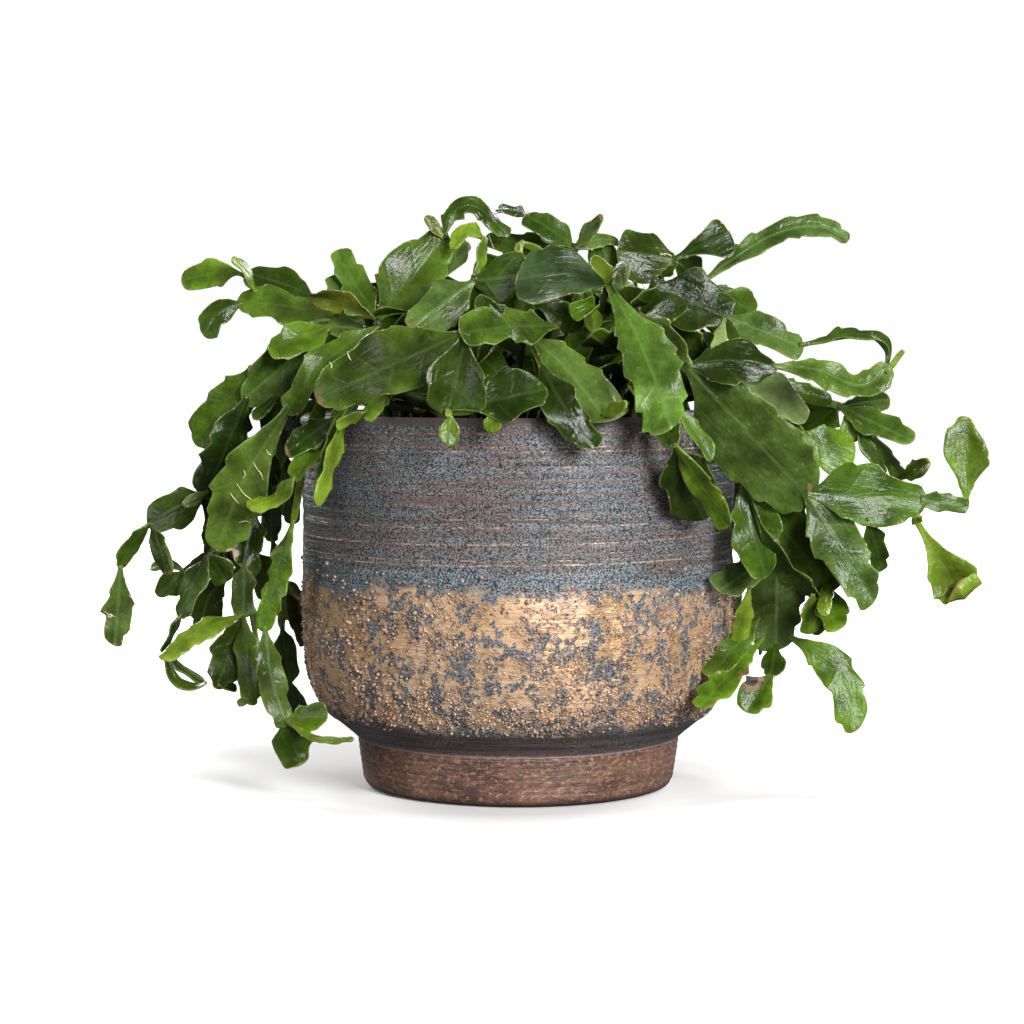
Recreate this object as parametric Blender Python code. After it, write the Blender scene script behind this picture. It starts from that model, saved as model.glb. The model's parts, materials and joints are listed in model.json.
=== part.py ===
"""Potted mistletoe cactus: a glazed planter, a thin inner pot, its soil, and rooted branches of flat pads.

Metres, +Z up. The origin is the middle of the planter's underside, and the front of the plant faces -Y.
"""

import math

import bpy
import numpy as np

MM = 0.001

# Planter, radius and height in millimetres up the outside, from the foot to the lip
FOOT_OUTSIDE = [(58.0, 0.0), (62.5, 0.4), (64.6, 3.0), (65.4, 8.0), (66.3, 14.5), (67.0, 20.6)]
BELLY_OUTSIDE = [(70.2, 23.6), (75.8, 28.2), (80.3, 31.6), (84.2, 38.4), (87.0, 45.5), (89.0, 55.5)]
WALL_OUTSIDE = [(90.2, 69.0), (90.0, 94.0), (89.7, 112.0), (90.4, 128.0), (90.6, 150.0), (89.4, 154.0)]
LIP_INSIDE = [(87.0, 155.0), (84.8, 153.8), (83.8, 150.0)]
WALL_INSIDE = [(83.0, 112.0), (82.6, 60.0), (79.0, 44.0), (70.0, 30.0), (61.0, 22.0), (57.0, 10.5), (52.0, 8.0)]
PLANTER_SEGMENTS = 40

# Inner pot
INNER_FLOOR = 8.3
INNER_BASE_RADIUS = 50.0
INNER_TOP_RADIUS = 74.0
INNER_BAND_RADIUS = 77.5
INNER_BAND_HEIGHT = 9.0
INNER_TOP = 140.0
INNER_WALL = 1.4
INNER_BED = INNER_FLOOR + INNER_WALL
INNER_SEGMENTS = 32
DRAIN_HOLES = 6
DRAIN_RADIUS = 4.0
DRAIN_CIRCLE = 34.0

# Soil and what is rooted in it
FIT = 0.35
SOIL_TOP = 131.0
SOIL_CROWN = 134.0
ROOT_DEPTH = 17.0
STEM_RADIUS = 1.8
SOCKET_RADIUS = 2.35
STEM_SIDES = 5
SOCKET_FLOOR_GAP = 0.4

# Pads
RIB_HALF = 1.15
LEAST_HALF_WIDTH = 1.0
JOINT_INSET = 0.94
MARGIN_INSET = 0.7
STEM_INSET = 2.5
FINE_STATIONS = 13
CLEARANCE = 4.3
OWN_CLEARANCE = 2.6
STEM_CLEARANCE = 5.2
POT_CLEARANCE = 3.2
FLOOR_CLEARANCE = 2.0
SHIFTS = (0, 4, -4, 8, -8, 12, -12, 16, -16, 21, -21, 27, -27, 34, -34)
STEM_SWAYS = (0, 7, 14, 22, 30)

# The viewer of the front view, in millimetres
EYE = np.array((-2.5, -1045.0, 181.0))

# How each kind of pad widens: where it starts and stops widening, where it starts to round off,
# and its width at the base and at the tip as a share of the full width
KINDS = {
    "blade": (0.02, 0.38, 0.74, 0.16, 0.42),
    "obovate": (0.02, 0.62, 0.76, 0.13, 0.42),
    "oval": (0.0, 0.48, 0.54, 0.20, 0.30),
    "stalked": (0.30, 0.62, 0.72, 0.15, 0.38),
    "fan": (0.05, 0.90, 0.94, 0.13, 0.82),
    "strap": (0.0, 0.30, 0.70, 0.60, 0.60),
}


def unit(vector):
    return vector / np.linalg.norm(vector)


def seen(x, z, depth):
    """A point and the direction it faces, from the front view.

    Its sight line crosses the plane of the pot's axis at (x, z), and it lies `depth` nearer the viewer.
    """
    on_plane = np.array((x, 0.0, z))
    point = EYE + (on_plane - EYE) * ((-EYE[1] - depth) / -EYE[1])
    return point, unit(EYE - point)


def around(azimuth, radius, z):
    """A point and the direction it faces, by its bearing from +X round the pot's axis."""
    bearing = math.radians(azimuth)
    out = np.array((math.cos(bearing), math.sin(bearing), 0.0))
    return out * radius + np.array((0.0, 0.0, z)), unit(out + np.array((0.0, 0.0, 0.35)))


def pad(label, parent, place, width, kind="blade", at=1.0, side=0, roll=0, bow=0, arch=0, via=()):
    """One flat pad of a branch.

    It grows from its parent at a share `at` of the parent's length, on its midrib or on the margin of
    that side, and ends at `place`. `roll` turns its face up, `bow` bends it in its own plane and `arch`
    towards its face.
    """
    return {
        "label": label, "parent": parent, "place": place, "width": width, "kind": kind, "at": at,
        "side": side, "roll": roll, "bow": bow, "arch": arch, "via": via,
    }


def front_branches():
    """The branches that the front view shows: name, root in the soil, top of the stem, and pads."""
    return [
        ("left_front_branch", (-36, -22), seen(-59, 193, 50), [
            pad("a", None, seen(-97, 155, 63), 14, roll=30, bow=4),
            pad("b", "a", seen(-126, 97, 54), 25, "obovate", roll=8, bow=3, arch=3),
        ]),
        ("left_crown_branch", (-24, -14), seen(-42, 197, 38), [
            pad("a", None, seen(-60, 194, 42), 13, roll=-40),
            pad("b", "a", seen(-29, 229, 34), 24, roll=12, arch=2),
            pad("c", "b", seen(-4, 228, 24), 13, roll=40, via=(seen(-28, 237, 33), seen(-18, 240, 30))),
            pad("d", "b", seen(-38.5, 236.5, 36), 5, "oval", roll=20),
            pad("e", "a", seen(-77, 212, 32), 15, roll=25, bow=-1),
            pad("f", "a", seen(-87, 203, 46), 11, roll=-35, bow=2),
        ]),
        ("left_long_branch", (-44, 4), seen(-59, 196, 22), [
            pad("a", None, seen(-77, 195, 22), 4, "strap"),
            pad("b", "a", seen(-117, 201, 26), 19, roll=45, bow=1),
            pad("c", "b", seen(-131, 187, 30), 12, roll=20, bow=3),
            pad("d", "b", seen(-140, 210, 18), 12, "stalked", at=0.8, side=1, roll=15, via=(seen(-117, 213, 20),)),
            pad("e", "b", seen(-119, 219, 32), 8, at=0.82, side=1, roll=65, bow=2),
            pad("f", "a", seen(-113, 213, 8), 16, "stalked", roll=30, via=(seen(-90, 205, 12),)),
        ]),
        ("left_drape_branch", (-50, -9), seen(-63, 191, 36), [
            pad("a", None, seen(-79, 191, 34), 9, roll=30),
            pad("b", "a", seen(-115, 160, 38), 22, roll=-12),
            pad("c", "b", seen(-131, 119, 34), 18, roll=10),
            pad("d", "a", seen(-104, 181, 20), 16, roll=30),
            pad("e", "b", seen(-135, 142, 20), 20, at=0.75, side=1, roll=20),
            pad("f", "c", seen(-155, 108.5, 28), 18, roll=20),
            pad("g", "f", seen(-167, 90, 28), 8, roll=35, bow=1.5),
            pad("h", "g", seen(-169, 57, 26), 16, "obovate", roll=5),
            pad("i", "f", seen(-146, 87, 34), 9, roll=-40),
            pad("j", "c", seen(-140, 116, 40), 5, "oval", at=0.93),
            pad("k", "b", seen(-110, 152, 46), 6, at=0.7, side=-1, roll=45),
        ]),
        ("left_outer_tail", (-54, -26), seen(-92, 167, 28), [
            pad("a", None, seen(-107, 147, 24), 11, roll=20),
            pad("b", "a", seen(-122, 119, 16), 16, roll=-15),
            pad("c", "b", seen(-130, 95, 20), 10, roll=20),
            pad("d", "c", seen(-142, 69, 24), 11, roll=-30),
            pad("e", "d", seen(-149, 54, 26), 7, roll=60),
            pad("f", "e", seen(-130, 39, 32), 6, roll=50, bow=6),
            pad("g", "e", seen(-131, 41, 18), 5, roll=50, bow=1),
            pad("h", "c", seen(-140, 88, 14), 3.5, "strap"),
            pad("i", "h", seen(-154, 90, 12), 6, roll=50, bow=2),
            pad("j", "h", seen(-151, 78, 14), 11, "oval", roll=10),
        ]),
        ("left_middle_tail", (-60, 2), seen(-94, 165, 6), [
            pad("a", None, seen(-104, 142, 4), 11, roll=20),
            pad("b", "a", seen(-111, 113, 4), 14, roll=-10),
            pad("c", "b", seen(-115, 90, 12), 13, roll=15),
            pad("d", "c", seen(-115, 69, 20), 11, roll=-20),
            pad("e", "d", seen(-149, 51, 36), 10, roll=35, bow=3),
            pad("f", "d", seen(-127, 39, 16), 14, roll=10),
            pad("g", "f", seen(-118, 39, 20), 5, roll=45),
            pad("h", "d", seen(-112, 32, 30), 11, roll=-15),
            pad("i", "h", seen(-118, 33, 32), 4, "oval"),
            pad("j", "c", seen(-134, 64, 4), 17, "stalked", roll=-5, via=(seen(-128, 80, 6),)),
        ]),
        ("left_inner_tail", (-50, -36), seen(-84, 163, 50), [
            pad("a", None, seen(-90, 131, 54), 6, "strap", roll=20),
            pad("b", "a", seen(-94, 109, 50), 3, "strap"),
            pad("c", "b", seen(-107, 63, 46), 11, roll=-25),
            pad("d", "c", seen(-97, 23, 46), 12, roll=15, bow=2),
            pad("e", "d", seen(-80, 27, 52), 12, roll=20),
            pad("f", "d", seen(-69, 17.5, 56), 3.5, roll=30, bow=3.5),
            pad("g", "d", seen(-91, 6.5, 42), 16, at=0.93, roll=-8),
        ]),
        ("left_rim_branch", (-30, -44), seen(-66, 167, 62), [
            pad("a", None, seen(-77, 152, 69), 7, roll=20),
            pad("b", "a", seen(-94, 127, 68), 12, roll=-20),
            pad("c", "b", seen(-113, 115, 66), 11, roll=50, bow=-3),
            pad("d", "a", seen(-97, 138, 58), 11, roll=25),
            pad("e", "a", seen(-83, 117, 72), 9, roll=45),
            pad("f", "a", seen(-84, 116, 80), 8, at=0.5, roll=-50),
        ]),
        ("left_rim_sprig", (-18, -50), seen(-54, 163, 76), [
            pad("a", None, seen(-64, 154.5, 80), 5, roll=20),
            pad("b", "a", seen(-76, 150, 80), 6, roll=-35),
            pad("c", "a", seen(-63, 151.5, 86), 5, at=0.3, roll=30),
        ]),
        ("left_behind_branch", (-58, 15), seen(-94, 163, -18), [
            pad("a", None, seen(-103, 131, -24), 12, roll=20),
            pad("b", "a", seen(-103, 101, -20), 13, roll=-25),
            pad("c", "b", seen(-99, 84, -14), 6, roll=20),
            pad("d", "c", seen(-90, 76, -24), 6, roll=40),
            pad("e", "c", seen(-99, 64, -6), 5, roll=40),
            pad("f", "e", seen(-96, 41, -2), 11, roll=15),
            pad("g", "f", seen(-90, 23, 4), 12, roll=-15),
            pad("h", "c", seen(-90, 57, -18), 7, at=0.7, roll=30),
        ]),
        ("front_left_branch", (2, -36), seen(17, 193, 66), [
            pad("a", None, seen(-24, 188, 76), 16, roll=30, bow=1),
            pad("b", "a", seen(-84, 160, 72), 27, roll=18),
            pad("c", "a", seen(-29, 154, 97), 28, "obovate", roll=5),
            pad("d", "c", seen(12, 165, 100), 21, "obovate", roll=25),
            pad("e", "c", seen(-29, 141, 104), 8, "obovate", roll=20),
            pad("f", "c", seen(-29.5, 153.5, 106), 3, "oval"),
            pad("g", "d", seen(-10.5, 146.5, 102), 7, "oval", at=0.4, side=1),
        ]),
        ("front_centre_branch", (-4, -48), seen(3, 191, 70), [
            pad("a", None, seen(37, 151, 106), 21, roll=18, bow=-2),
            pad("b", None, seen(39, 158, 92), 13, roll=-15),
            pad("c", None, seen(32, 140, 99), 15, "stalked", roll=10, via=(seen(17, 161, 94),)),
            pad("d", "a", seen(45.5, 159, 104), 5, "oval", roll=20),
            pad("e", None, seen(2, 206, 64), 12, roll=-30),
        ]),
        ("centre_fold_branch", (-14, -22), seen(-18, 212, 52), [
            pad("a", None, seen(2, 212, 56), 23, "oval", roll=15),
            pad("b", None, seen(-45, 190, 62), 19, roll=20),
            pad("c", None, seen(-13.5, 228, 44), 6, "strap", roll=50),
            pad("d", "c", seen(-28, 223, 36), 8, roll=45, via=(seen(-21, 230, 38),)),
            pad("e", "a", seen(1, 226, 46), 4, "strap", roll=40),
            pad("f", "e", seen(10.5, 220.5, 39), 5, "strap", roll=-35),
        ]),
        ("front_right_branch", (20, -40), seen(38, 211, 66), [
            pad("a", None, seen(-1, 210, 70), 21, roll=30, bow=3),
            pad("b", None, seen(64, 148, 97), 25, "obovate", roll=10, bow=-2, arch=3),
            pad("c", None, seen(30, 219, 78), 8, "oval", roll=30, bow=2, arch=3),
            pad("d", None, seen(44, 207, 74), 11, "oval", roll=15, bow=-5),
            pad("e", "a", seen(31, 199, 60), 3.5, "strap", at=0.22, side=-1),
            pad("f", "e", seen(22, 195, 68), 13, "oval", roll=20, arch=3),
            pad("g", "e", seen(32, 188, 64), 8, "oval", roll=-20),
        ]),
        ("right_over_branch", (34, -44), seen(49, 177, 70), [
            pad("a", None, seen(54, 162, 76), 9, roll=15),
            pad("b", "a", seen(66, 141, 76), 13, roll=-15),
            pad("c", "b", seen(78, 110, 68), 20, roll=10, bow=1),
            pad("d", "b", seen(88, 107, 75), 11, roll=-35),
            pad("e", "a", seen(81, 135, 78), 8, "stalked", roll=40, via=(seen(69, 153, 76),)),
        ]),
        ("top_pair_branch", (8, -8), seen(24, 225, 30), [
            pad("a", None, seen(3, 237, 24), 13, roll=30, bow=1),
            pad("b", None, seen(35, 237, 32), 7, roll=35),
            pad("c", None, seen(42, 226, 20), 8, roll=45, bow=-2),
            pad("d", "a", seen(-9, 239, 16), 6, roll=40, bow=1),
            pad("e", None, seen(-14, 227, 14), 11, roll=30),
        ]),
        ("heart_branch", (20, -22), seen(24, 186, 34), [
            pad("a", None, seen(41, 207, 28), 20, roll=15, arch=2),
            pad("b", None, seen(8, 200, 26), 19, roll=20, arch=2),
            pad("c", None, seen(33, 166, 46), 17, roll=-10),
            pad("d", None, seen(8, 170, 40), 16, roll=15),
        ]),
        ("top_right_branch", (28, 6), seen(60, 213, 20), [
            pad("a", None, seen(65, 219, 24), 7, roll=10),
            pad("b", "a", seen(41, 222, 26), 24, "oval", roll=25),
            pad("c", "a", seen(88, 230, 22), 19, "fan", roll=20),
            pad("d", "a", seen(77, 208, 12), 16, "oval", roll=20),
            pad("e", "d", seen(137, 226, 4), 12, roll=35,
                via=(seen(90, 219, 11), seen(108, 229.5, 8), seen(125, 232, 6))),
        ]),
        ("right_dark_branch", (38, -12), seen(57, 211, 40), [
            pad("a", None, seen(88, 194, 42), 27, roll=20),
            pad("b", "a", seen(119, 182, 46), 16, roll=35),
            pad("c", "a", seen(83, 180, 54), 9, "fan", roll=-10),
            pad("d", "b", seen(153, 172, 40), 9, roll=60,
                via=(seen(134, 186.5, 45), seen(147, 187, 43), seen(154, 180, 41))),
        ]),
        ("right_middle_branch", (46, -30), seen(50, 199, 60), [
            pad("a", None, seen(71, 173, 68), 15, roll=-20),
            pad("b", "a", seen(108, 174, 64), 20, roll=30, bow=-2),
            pad("c", "b", seen(156, 173, 56), 13, roll=38, via=(seen(125, 172.5, 62), seen(142, 166, 58))),
            pad("d", "c", seen(160.5, 181, 56), 2.5, "strap"),
            pad("e", "a", seen(123, 118, 64), 30, roll=-8),
            pad("f", "e", seen(171, 118, 51), 25, roll=22),
            pad("g", "f", seen(188.5, 116, 48), 8, "strap"),
            pad("h", "g", seen(188, 153, 46), 18, "obovate", roll=5),
            pad("i", "f", seen(167, 109, 48), 5, "strap", at=0.9, side=1),
            pad("j", "i", seen(190, 71, 44), 23, "fan", roll=8),
            pad("k", "e", seen(149, 75, 56), 21, roll=12, bow=-1),
            pad("l", "f", seen(153, 89, 42), 9, at=0.5, side=1, roll=15),
        ]),
        ("right_bright_branch", (56, -14), seen(72, 184, 34), [
            pad("a", None, seen(94, 168, 40), 9, roll=20),
            pad("b", "a", seen(120, 151, 50), 18, "oval", roll=25, bow=-3),
            pad("c", "b", seen(118, 146, 46), 6, at=0.8, side=1),
            pad("d", "a", seen(131, 160, 36), 10, roll=25),
            pad("e", "a", seen(136, 157, 42), 4.5, "strap", roll=20),
            pad("f", "e", seen(165, 143, 42), 15, roll=35),
            pad("g", "e", seen(155, 161, 34), 12, roll=-45),
            pad("h", "f", seen(153, 129, 38), 9, at=0.3, side=1, roll=45),
            pad("i", "f", seen(161, 127, 44), 8, at=0.55, side=1, roll=-35),
            pad("j", "i", seen(172, 134, 42), 9, "oval", roll=20),
            pad("k", "c", seen(140, 134, 42), 18, roll=25),
            pad("l", "e", seen(120, 147, 26), 17, roll=20),
            pad("m", "f", seen(140, 142.5, 46), 9, "oval", at=0.15, side=1),
        ]),
        ("right_low_branch", (52, -36), seen(84, 164, 56), [
            pad("a", None, seen(95, 125, 70), 9, roll=40),
            pad("b", "a", seen(132, 80, 68), 25, roll=-12),
            pad("c", "a", seen(104, 86, 80), 21, roll=15, bow=1, arch=-3),
            pad("d", "b", seen(133, 63, 64), 14, roll=10),
            pad("e", "b", seen(128, 70, 72), 6, "strap"),
            pad("f", "b", seen(125, 61.5, 58), 7, roll=30),
            pad("g", "a", seen(126, 77, 58), 14, "stalked", roll=-40, via=(seen(107, 97, 62),)),
        ]),
        ("right_tail", (62, -4), seen(94, 164, 22), [
            pad("a", None, seen(104, 131, 28), 11, roll=20),
            pad("b", "a", seen(109, 98, 36), 14, roll=-15),
            pad("c", "b", seen(108, 55, 44), 20, roll=5),
            pad("d", "c", seen(106, 44, 44), 11, "oval"),
            pad("e", "c", seen(142, 21, 44), 15, at=0.86, side=-1, roll=15, bow=-9),
            pad("f", "c", seen(76, 31, 56), 14, "obovate", at=0.88, side=1, roll=25),
            pad("g", "d", seen(96, 29, 48), 14, "oval", roll=10),
            pad("h", "c", seen(84, 80, 56), 14, at=0.12, side=1, roll=15),
            pad("i", "h", seen(91, 47, 44), 8, at=0.55, side=-1, roll=20),
        ]),
    ]


def back_branch(number, azimuth, reach, drop, lean):
    """A branch that hangs over the back of the planter: three pads in a row, and two beside them."""
    rooted = math.radians(azimuth)
    root = (round(54 * math.cos(rooted)), round(54 * math.sin(rooted)))
    return ("back_branch_%02d" % number, root, around(azimuth, 60, 176), [
        pad("a", None, around(azimuth + lean, 92 + reach, 178), 18, roll=15, arch=6),
        pad("b", "a", around(azimuth - lean, 108 + reach, 140 - drop), 25, "obovate", roll=lean, arch=5),
        pad("c", "b", around(azimuth + lean, 104 + reach, 96 - drop), 21, roll=-lean, arch=3),
        pad("d", "c", around(azimuth - lean, 101 + reach, 62 - drop), 17, "obovate", roll=lean, arch=2),
        pad("e", "a", around(azimuth + 9, 112 + reach, 158 - drop), 15, at=0.9, side=-1, roll=lean),
        pad("f", "b", around(azimuth - 9, 116 + reach, 106 - drop), 14, roll=20),
    ])


def top_branch(number, azimuth, height, roll):
    """A short branch that stands up out of the pot and arches over at the back."""
    rooted = math.radians(azimuth)
    root = (round(38 * math.cos(rooted)), round(38 * math.sin(rooted)))
    return ("top_branch_%02d" % number, root, around(azimuth, 38, height - 22), [
        pad("a", None, around(azimuth + 3, 60, height), 19, roll=roll, arch=5),
        pad("b", "a", around(azimuth, 98, height - 4), 22, "obovate", roll=-roll, arch=7),
        pad("c", "a", around(azimuth + 17, 74, height + 7), 17, roll=25, arch=4),
        pad("d", "b", around(azimuth - 3, 120, height - 32), 16, roll=20, arch=4),
    ])


def crown_branch(number, azimuth, height):
    """A branch that stands up in the middle and spreads its pads out flat, over the soil."""
    rooted = math.radians(azimuth)
    root = (round(16 * math.cos(rooted)), round(16 * math.sin(rooted)))
    return ("crown_branch_%02d" % number, root, around(azimuth, 12, height - 13), [
        pad("a", None, around(azimuth, 38, height), 21, roll=15, arch=4),
        pad("b", "a", around(azimuth + 8, 72, height - 4), 23, "obovate", roll=-15, arch=5),
        pad("c", "a", around(azimuth + 34, 56, height - 20), 19, roll=20, arch=3),
        pad("d", "a", around(azimuth - 22, 50, height - 27), 17, roll=-20, arch=3),
    ])


def hidden_branches():
    """The branches that fill the middle, the sides and the back, where the front view doesn't reach."""
    back = [
        (4, 0, 8, 5), (27, 2, 0, 5), (48, 4, 18, -6), (70, -2, 6, 6), (92, 5, 26, -5),
        (114, -1, 10, 6), (136, 4, 22, -6), (158, 0, 2, 5), (180, 1, 14, -5),
    ]
    top = [(59, 187, 20), (103, 186, 25), (147, 184, 20)]
    crown = [(350, 214), (38, 206), (84, 222), (128, 210), (186, 203)]
    return (
        [back_branch(number, *row) for number, row in enumerate(back, start=1)]
        + [top_branch(number, *row) for number, row in enumerate(top, start=1)]
        + [crown_branch(number, *row) for number, row in enumerate(crown, start=1)]
    )


def smooth(value):
    value = min(1.0, max(0.0, value))
    return value * value * (3 - 2 * value)


def width_share(kind, s):
    """Width of a pad at a share s of its length, as a share of its full width."""
    start, full, fall, base, end = KINDS[kind]
    if s < fall:
        return base + (1 - base) * smooth((s - start) / (full - start))
    over = (s - fall) / (1 - fall)
    return end + (1 - end) * math.sqrt(max(0.0, 1 - over * over))


def through(points, count):
    """Points evenly spaced along a smooth curve through the given ones."""
    points = [2 * points[0] - points[1], *points, 2 * points[-1] - points[-2]]
    fine = []
    for before, start, end, after in zip(points, points[1:], points[2:], points[3:]):
        for step in np.linspace(0, 1, 24, endpoint=False):
            fine.append(0.5 * (
                2 * start + (end - before) * step
                + (2 * before - 5 * start + 4 * end - after) * step ** 2
                + (3 * start - before - 3 * end + after) * step ** 3
            ))
    fine = np.array([*fine, points[-2]])
    lengths = np.concatenate([[0], np.cumsum(np.linalg.norm(np.diff(fine, axis=0), axis=1))])
    at = np.linspace(0, lengths[-1], count)
    return np.stack([np.interp(at, lengths, fine[:, axis]) for axis in range(3)], axis=1)


def tangents(centres):
    along = np.gradient(centres, axis=0)
    return along / np.linalg.norm(along, axis=1)[:, None]


def face_directions(along, facing, roll):
    """The face's normal at each point of a midrib, rolled about it and carried without twist."""
    middle = len(along) // 2
    tangent = along[middle]
    normal = facing - tangent * (facing @ tangent)
    if np.linalg.norm(normal) < 0.3:
        upward = np.array((0.0, 0.0, 1.0))
        normal = normal + upward - tangent * (upward @ tangent)
    normal = unit(normal)
    across = np.cross(tangent, normal)
    lift = across[2] if abs(tangent[2]) < 0.8 else across[0]
    turn = math.radians(roll)
    normal = normal * math.cos(turn) + across * math.copysign(math.sin(turn), lift * turn)
    normals = [None] * len(along)
    normals[middle] = unit(normal)
    for index in [*range(middle + 1, len(along)), *range(middle - 1, -1, -1)]:
        near = normals[index - 1] if index > middle else normals[index + 1]
        normals[index] = unit(near - along[index] * (near @ along[index]))
    return np.array(normals)


def lay_pad(spec, base, shift):
    """The midrib of a pad, its faces' directions and its half widths, with its tip moved by `shift`."""
    point, facing = spec["place"]
    tip = point + facing * shift
    stops = [place[0] + place[1] * shift * (index + 1) / (len(spec["via"]) + 1)
             for index, place in enumerate(spec["via"])]
    if stops:
        centres = through([base, *stops, tip], FINE_STATIONS)
    else:
        chord = unit(tip - base)
        level = unit(np.cross(chord, facing))
        middle = (base + tip) / 2 + level * spec["bow"] + np.cross(level, chord) * spec["arch"]
        centres = through([base, middle, tip], FINE_STATIONS)
    along = tangents(centres)
    normals = face_directions(along, facing, spec["roll"])
    shares = [width_share(spec["kind"], s) for s in np.linspace(0, 1, FINE_STATIONS)]
    halves = np.maximum(LEAST_HALF_WIDTH, np.array(shares) * spec["width"] / 2)
    return {"centres": centres, "along": along, "normals": normals, "halves": halves, "spec": spec}


def margin_directions(laid):
    return np.cross(laid["along"], laid["normals"])


def cloud(laid):
    """Points spread over a pad, closely enough to tell how near another one is."""
    length = np.linalg.norm(np.diff(laid["centres"], axis=0), axis=1).sum()
    rows = max(4, int(length / 3))
    columns = 2 * max(1, int(laid["halves"].max() / 4)) + 1
    at = np.linspace(0, FINE_STATIONS - 1, rows)
    stations = np.arange(FINE_STATIONS)
    centres = np.stack([np.interp(at, stations, laid["centres"][:, axis]) for axis in range(3)], axis=1)
    margins = margin_directions(laid) * laid["halves"][:, None]
    margins = np.stack([np.interp(at, stations, margins[:, axis]) for axis in range(3)], axis=1)
    spread = np.linspace(-1, 1, columns)
    return (centres[:, None, :] + margins[:, None, :] * spread[None, :, None]).reshape(-1, 3)


def nearest(points, others):
    """Least distance between a set of points and some other sets."""
    low, high = points.min(axis=0) - 12, points.max(axis=0) + 12
    least = 12.0
    for other in others:
        if (other.max(axis=0) < low).any() or (other.min(axis=0) > high).any():
            continue
        gaps = np.linalg.norm(points[:, None, :] - other[None, :, :], axis=2)
        least = min(least, gaps.min())
    return least


OUTSIDE = FOOT_OUTSIDE + BELLY_OUTSIDE + WALL_OUTSIDE
PLANTER_HEIGHT = LIP_INSIDE[0][1]
LIP_CENTRE = LIP_INSIDE[0][0]


def room_beside_pot(points):
    """How far clear of the planter, the soil and the floor the nearest of some points is."""
    radii = np.hypot(points[:, 0], points[:, 1])
    heights = points[:, 2]
    outer = np.interp(heights, [z for _, z in OUTSIDE], [r for r, _ in OUTSIDE])
    beside = radii - outer
    lip = np.hypot(radii - LIP_CENTRE, heights - PLANTER_HEIGHT)
    room = np.where(heights > PLANTER_HEIGHT, lip, np.where(radii > LIP_CENTRE, beside, -beside))
    inside = (radii < LIP_CENTRE) & (heights < PLANTER_HEIGHT + 5)
    over_soil = np.minimum(heights - SOIL_CROWN, INNER_TOP_RADIUS - 4 - radii)
    room = np.where(inside, over_soil, room)
    return min(room.min(), heights.min() - FLOOR_CLEARANCE + POT_CLEARANCE)


def lay_stem(root, top, sway, swing):
    """Midrib of a stem: upright out of the soil, then over to the first pads."""
    foot = np.array((root[0], root[1], SOIL_TOP - ROOT_DEPTH))
    collar = foot + np.array((0.0, 0.0, ROOT_DEPTH + 5.0))
    level = np.array((math.cos(swing), math.sin(swing), 0.0)) * sway
    bend = (collar + top) / 2 + np.array((0.0, 0.0, 5.0)) + level
    return np.vstack([foot, through([collar, bend, top], 4)])


def settle_stems(branches):
    """Lay each stem, swaying it aside where it would touch one that is laid already."""
    stems = {}
    for name, root, (top, _), _ in branches:
        best = None
        for sway in STEM_SWAYS:
            for eighth in range(8 if sway else 1):
                stem = lay_stem(root, top, sway, eighth * math.pi / 4)
                fine = through(list(stem), 24)
                room = nearest(fine, [other for _, other in stems.values()])
                rim = room_beside_pot(fine[fine[:, 2] > SOIL_CROWN + 6])
                score = min(room, rim + STEM_CLEARANCE - POT_CLEARANCE)
                if best is None or score > best[0] + 0.01:
                    best = (score, stem, fine)
            if best[0] >= STEM_CLEARANCE:
                break
        stems[name] = best[1:]
    return stems


def base_of(spec, laid, stem):
    """Where a pad starts: inside the top of the stem or of its parent, or on the parent's margin."""
    if spec["parent"] is None:
        return stem[-1] + unit(stem[-2] - stem[-1]) * STEM_INSET
    parent = laid[spec["parent"]]
    at = min(spec["at"], JOINT_INSET) * (FINE_STATIONS - 1)
    rings = list(ring_stations(parent["spec"]))
    margins = margin_directions(parent) * parent["halves"][:, None] * MARGIN_INSET * spec["side"]
    places = (parent["centres"] + margins)[rings]
    return np.array([np.interp(at, rings, places[:, axis]) for axis in range(3)])


def settle_pads(branches, stems):
    """Lay the pads in turn, each moved to or fro along its sight line until it clears the rest."""
    laid = {}
    placed = []
    for name, _, _, pads in branches:
        own = {}
        trunks = [fine for other, (_, fine) in stems.items() if other != name]
        for spec in pads:
            base = base_of(spec, own, stems[name][0])
            sisters = [cloud(one)[len(cloud(one)) // 3:] for key, one in own.items() if key != spec["parent"]]
            others = [points for other, points in placed if other != name] + trunks
            best = None
            for shift in SHIFTS:
                trial = lay_pad(spec, base, shift)
                points = cloud(trial)
                room = min(
                    nearest(points, others),
                    nearest(points[len(points) // 3:], sisters) + CLEARANCE - OWN_CLEARANCE,
                    room_beside_pot(points) + CLEARANCE - POT_CLEARANCE,
                )
                if best is None or room > best[0] + 0.01:
                    best = (room, trial, shift)
                if room >= CLEARANCE:
                    break
            own[spec["label"]] = best[1]
            best[1]["room"], best[1]["shift"] = best[0], best[2]
        placed += [(name, cloud(one)) for one in own.values()]
        laid[name] = own
    return laid


def ring_stations(spec):
    if spec["via"]:
        return (0, 3, 6, 9, 12)
    if spec["width"] < 12:
        return (0, 6, 12)
    if spec["width"] < 24:
        return (0, 4, 9, 12)
    return (0, 3, 6, 10, 12)


def tube_faces(first, sides):
    """Triangles between the ring of corners that starts at `first` and the next ring."""
    faces = []
    for side in range(sides):
        following = (side + 1) % sides
        faces.append((first + side, first + following, first + sides + following))
        faces.append((first + side, first + sides + following, first + sides + side))
    return faces


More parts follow.
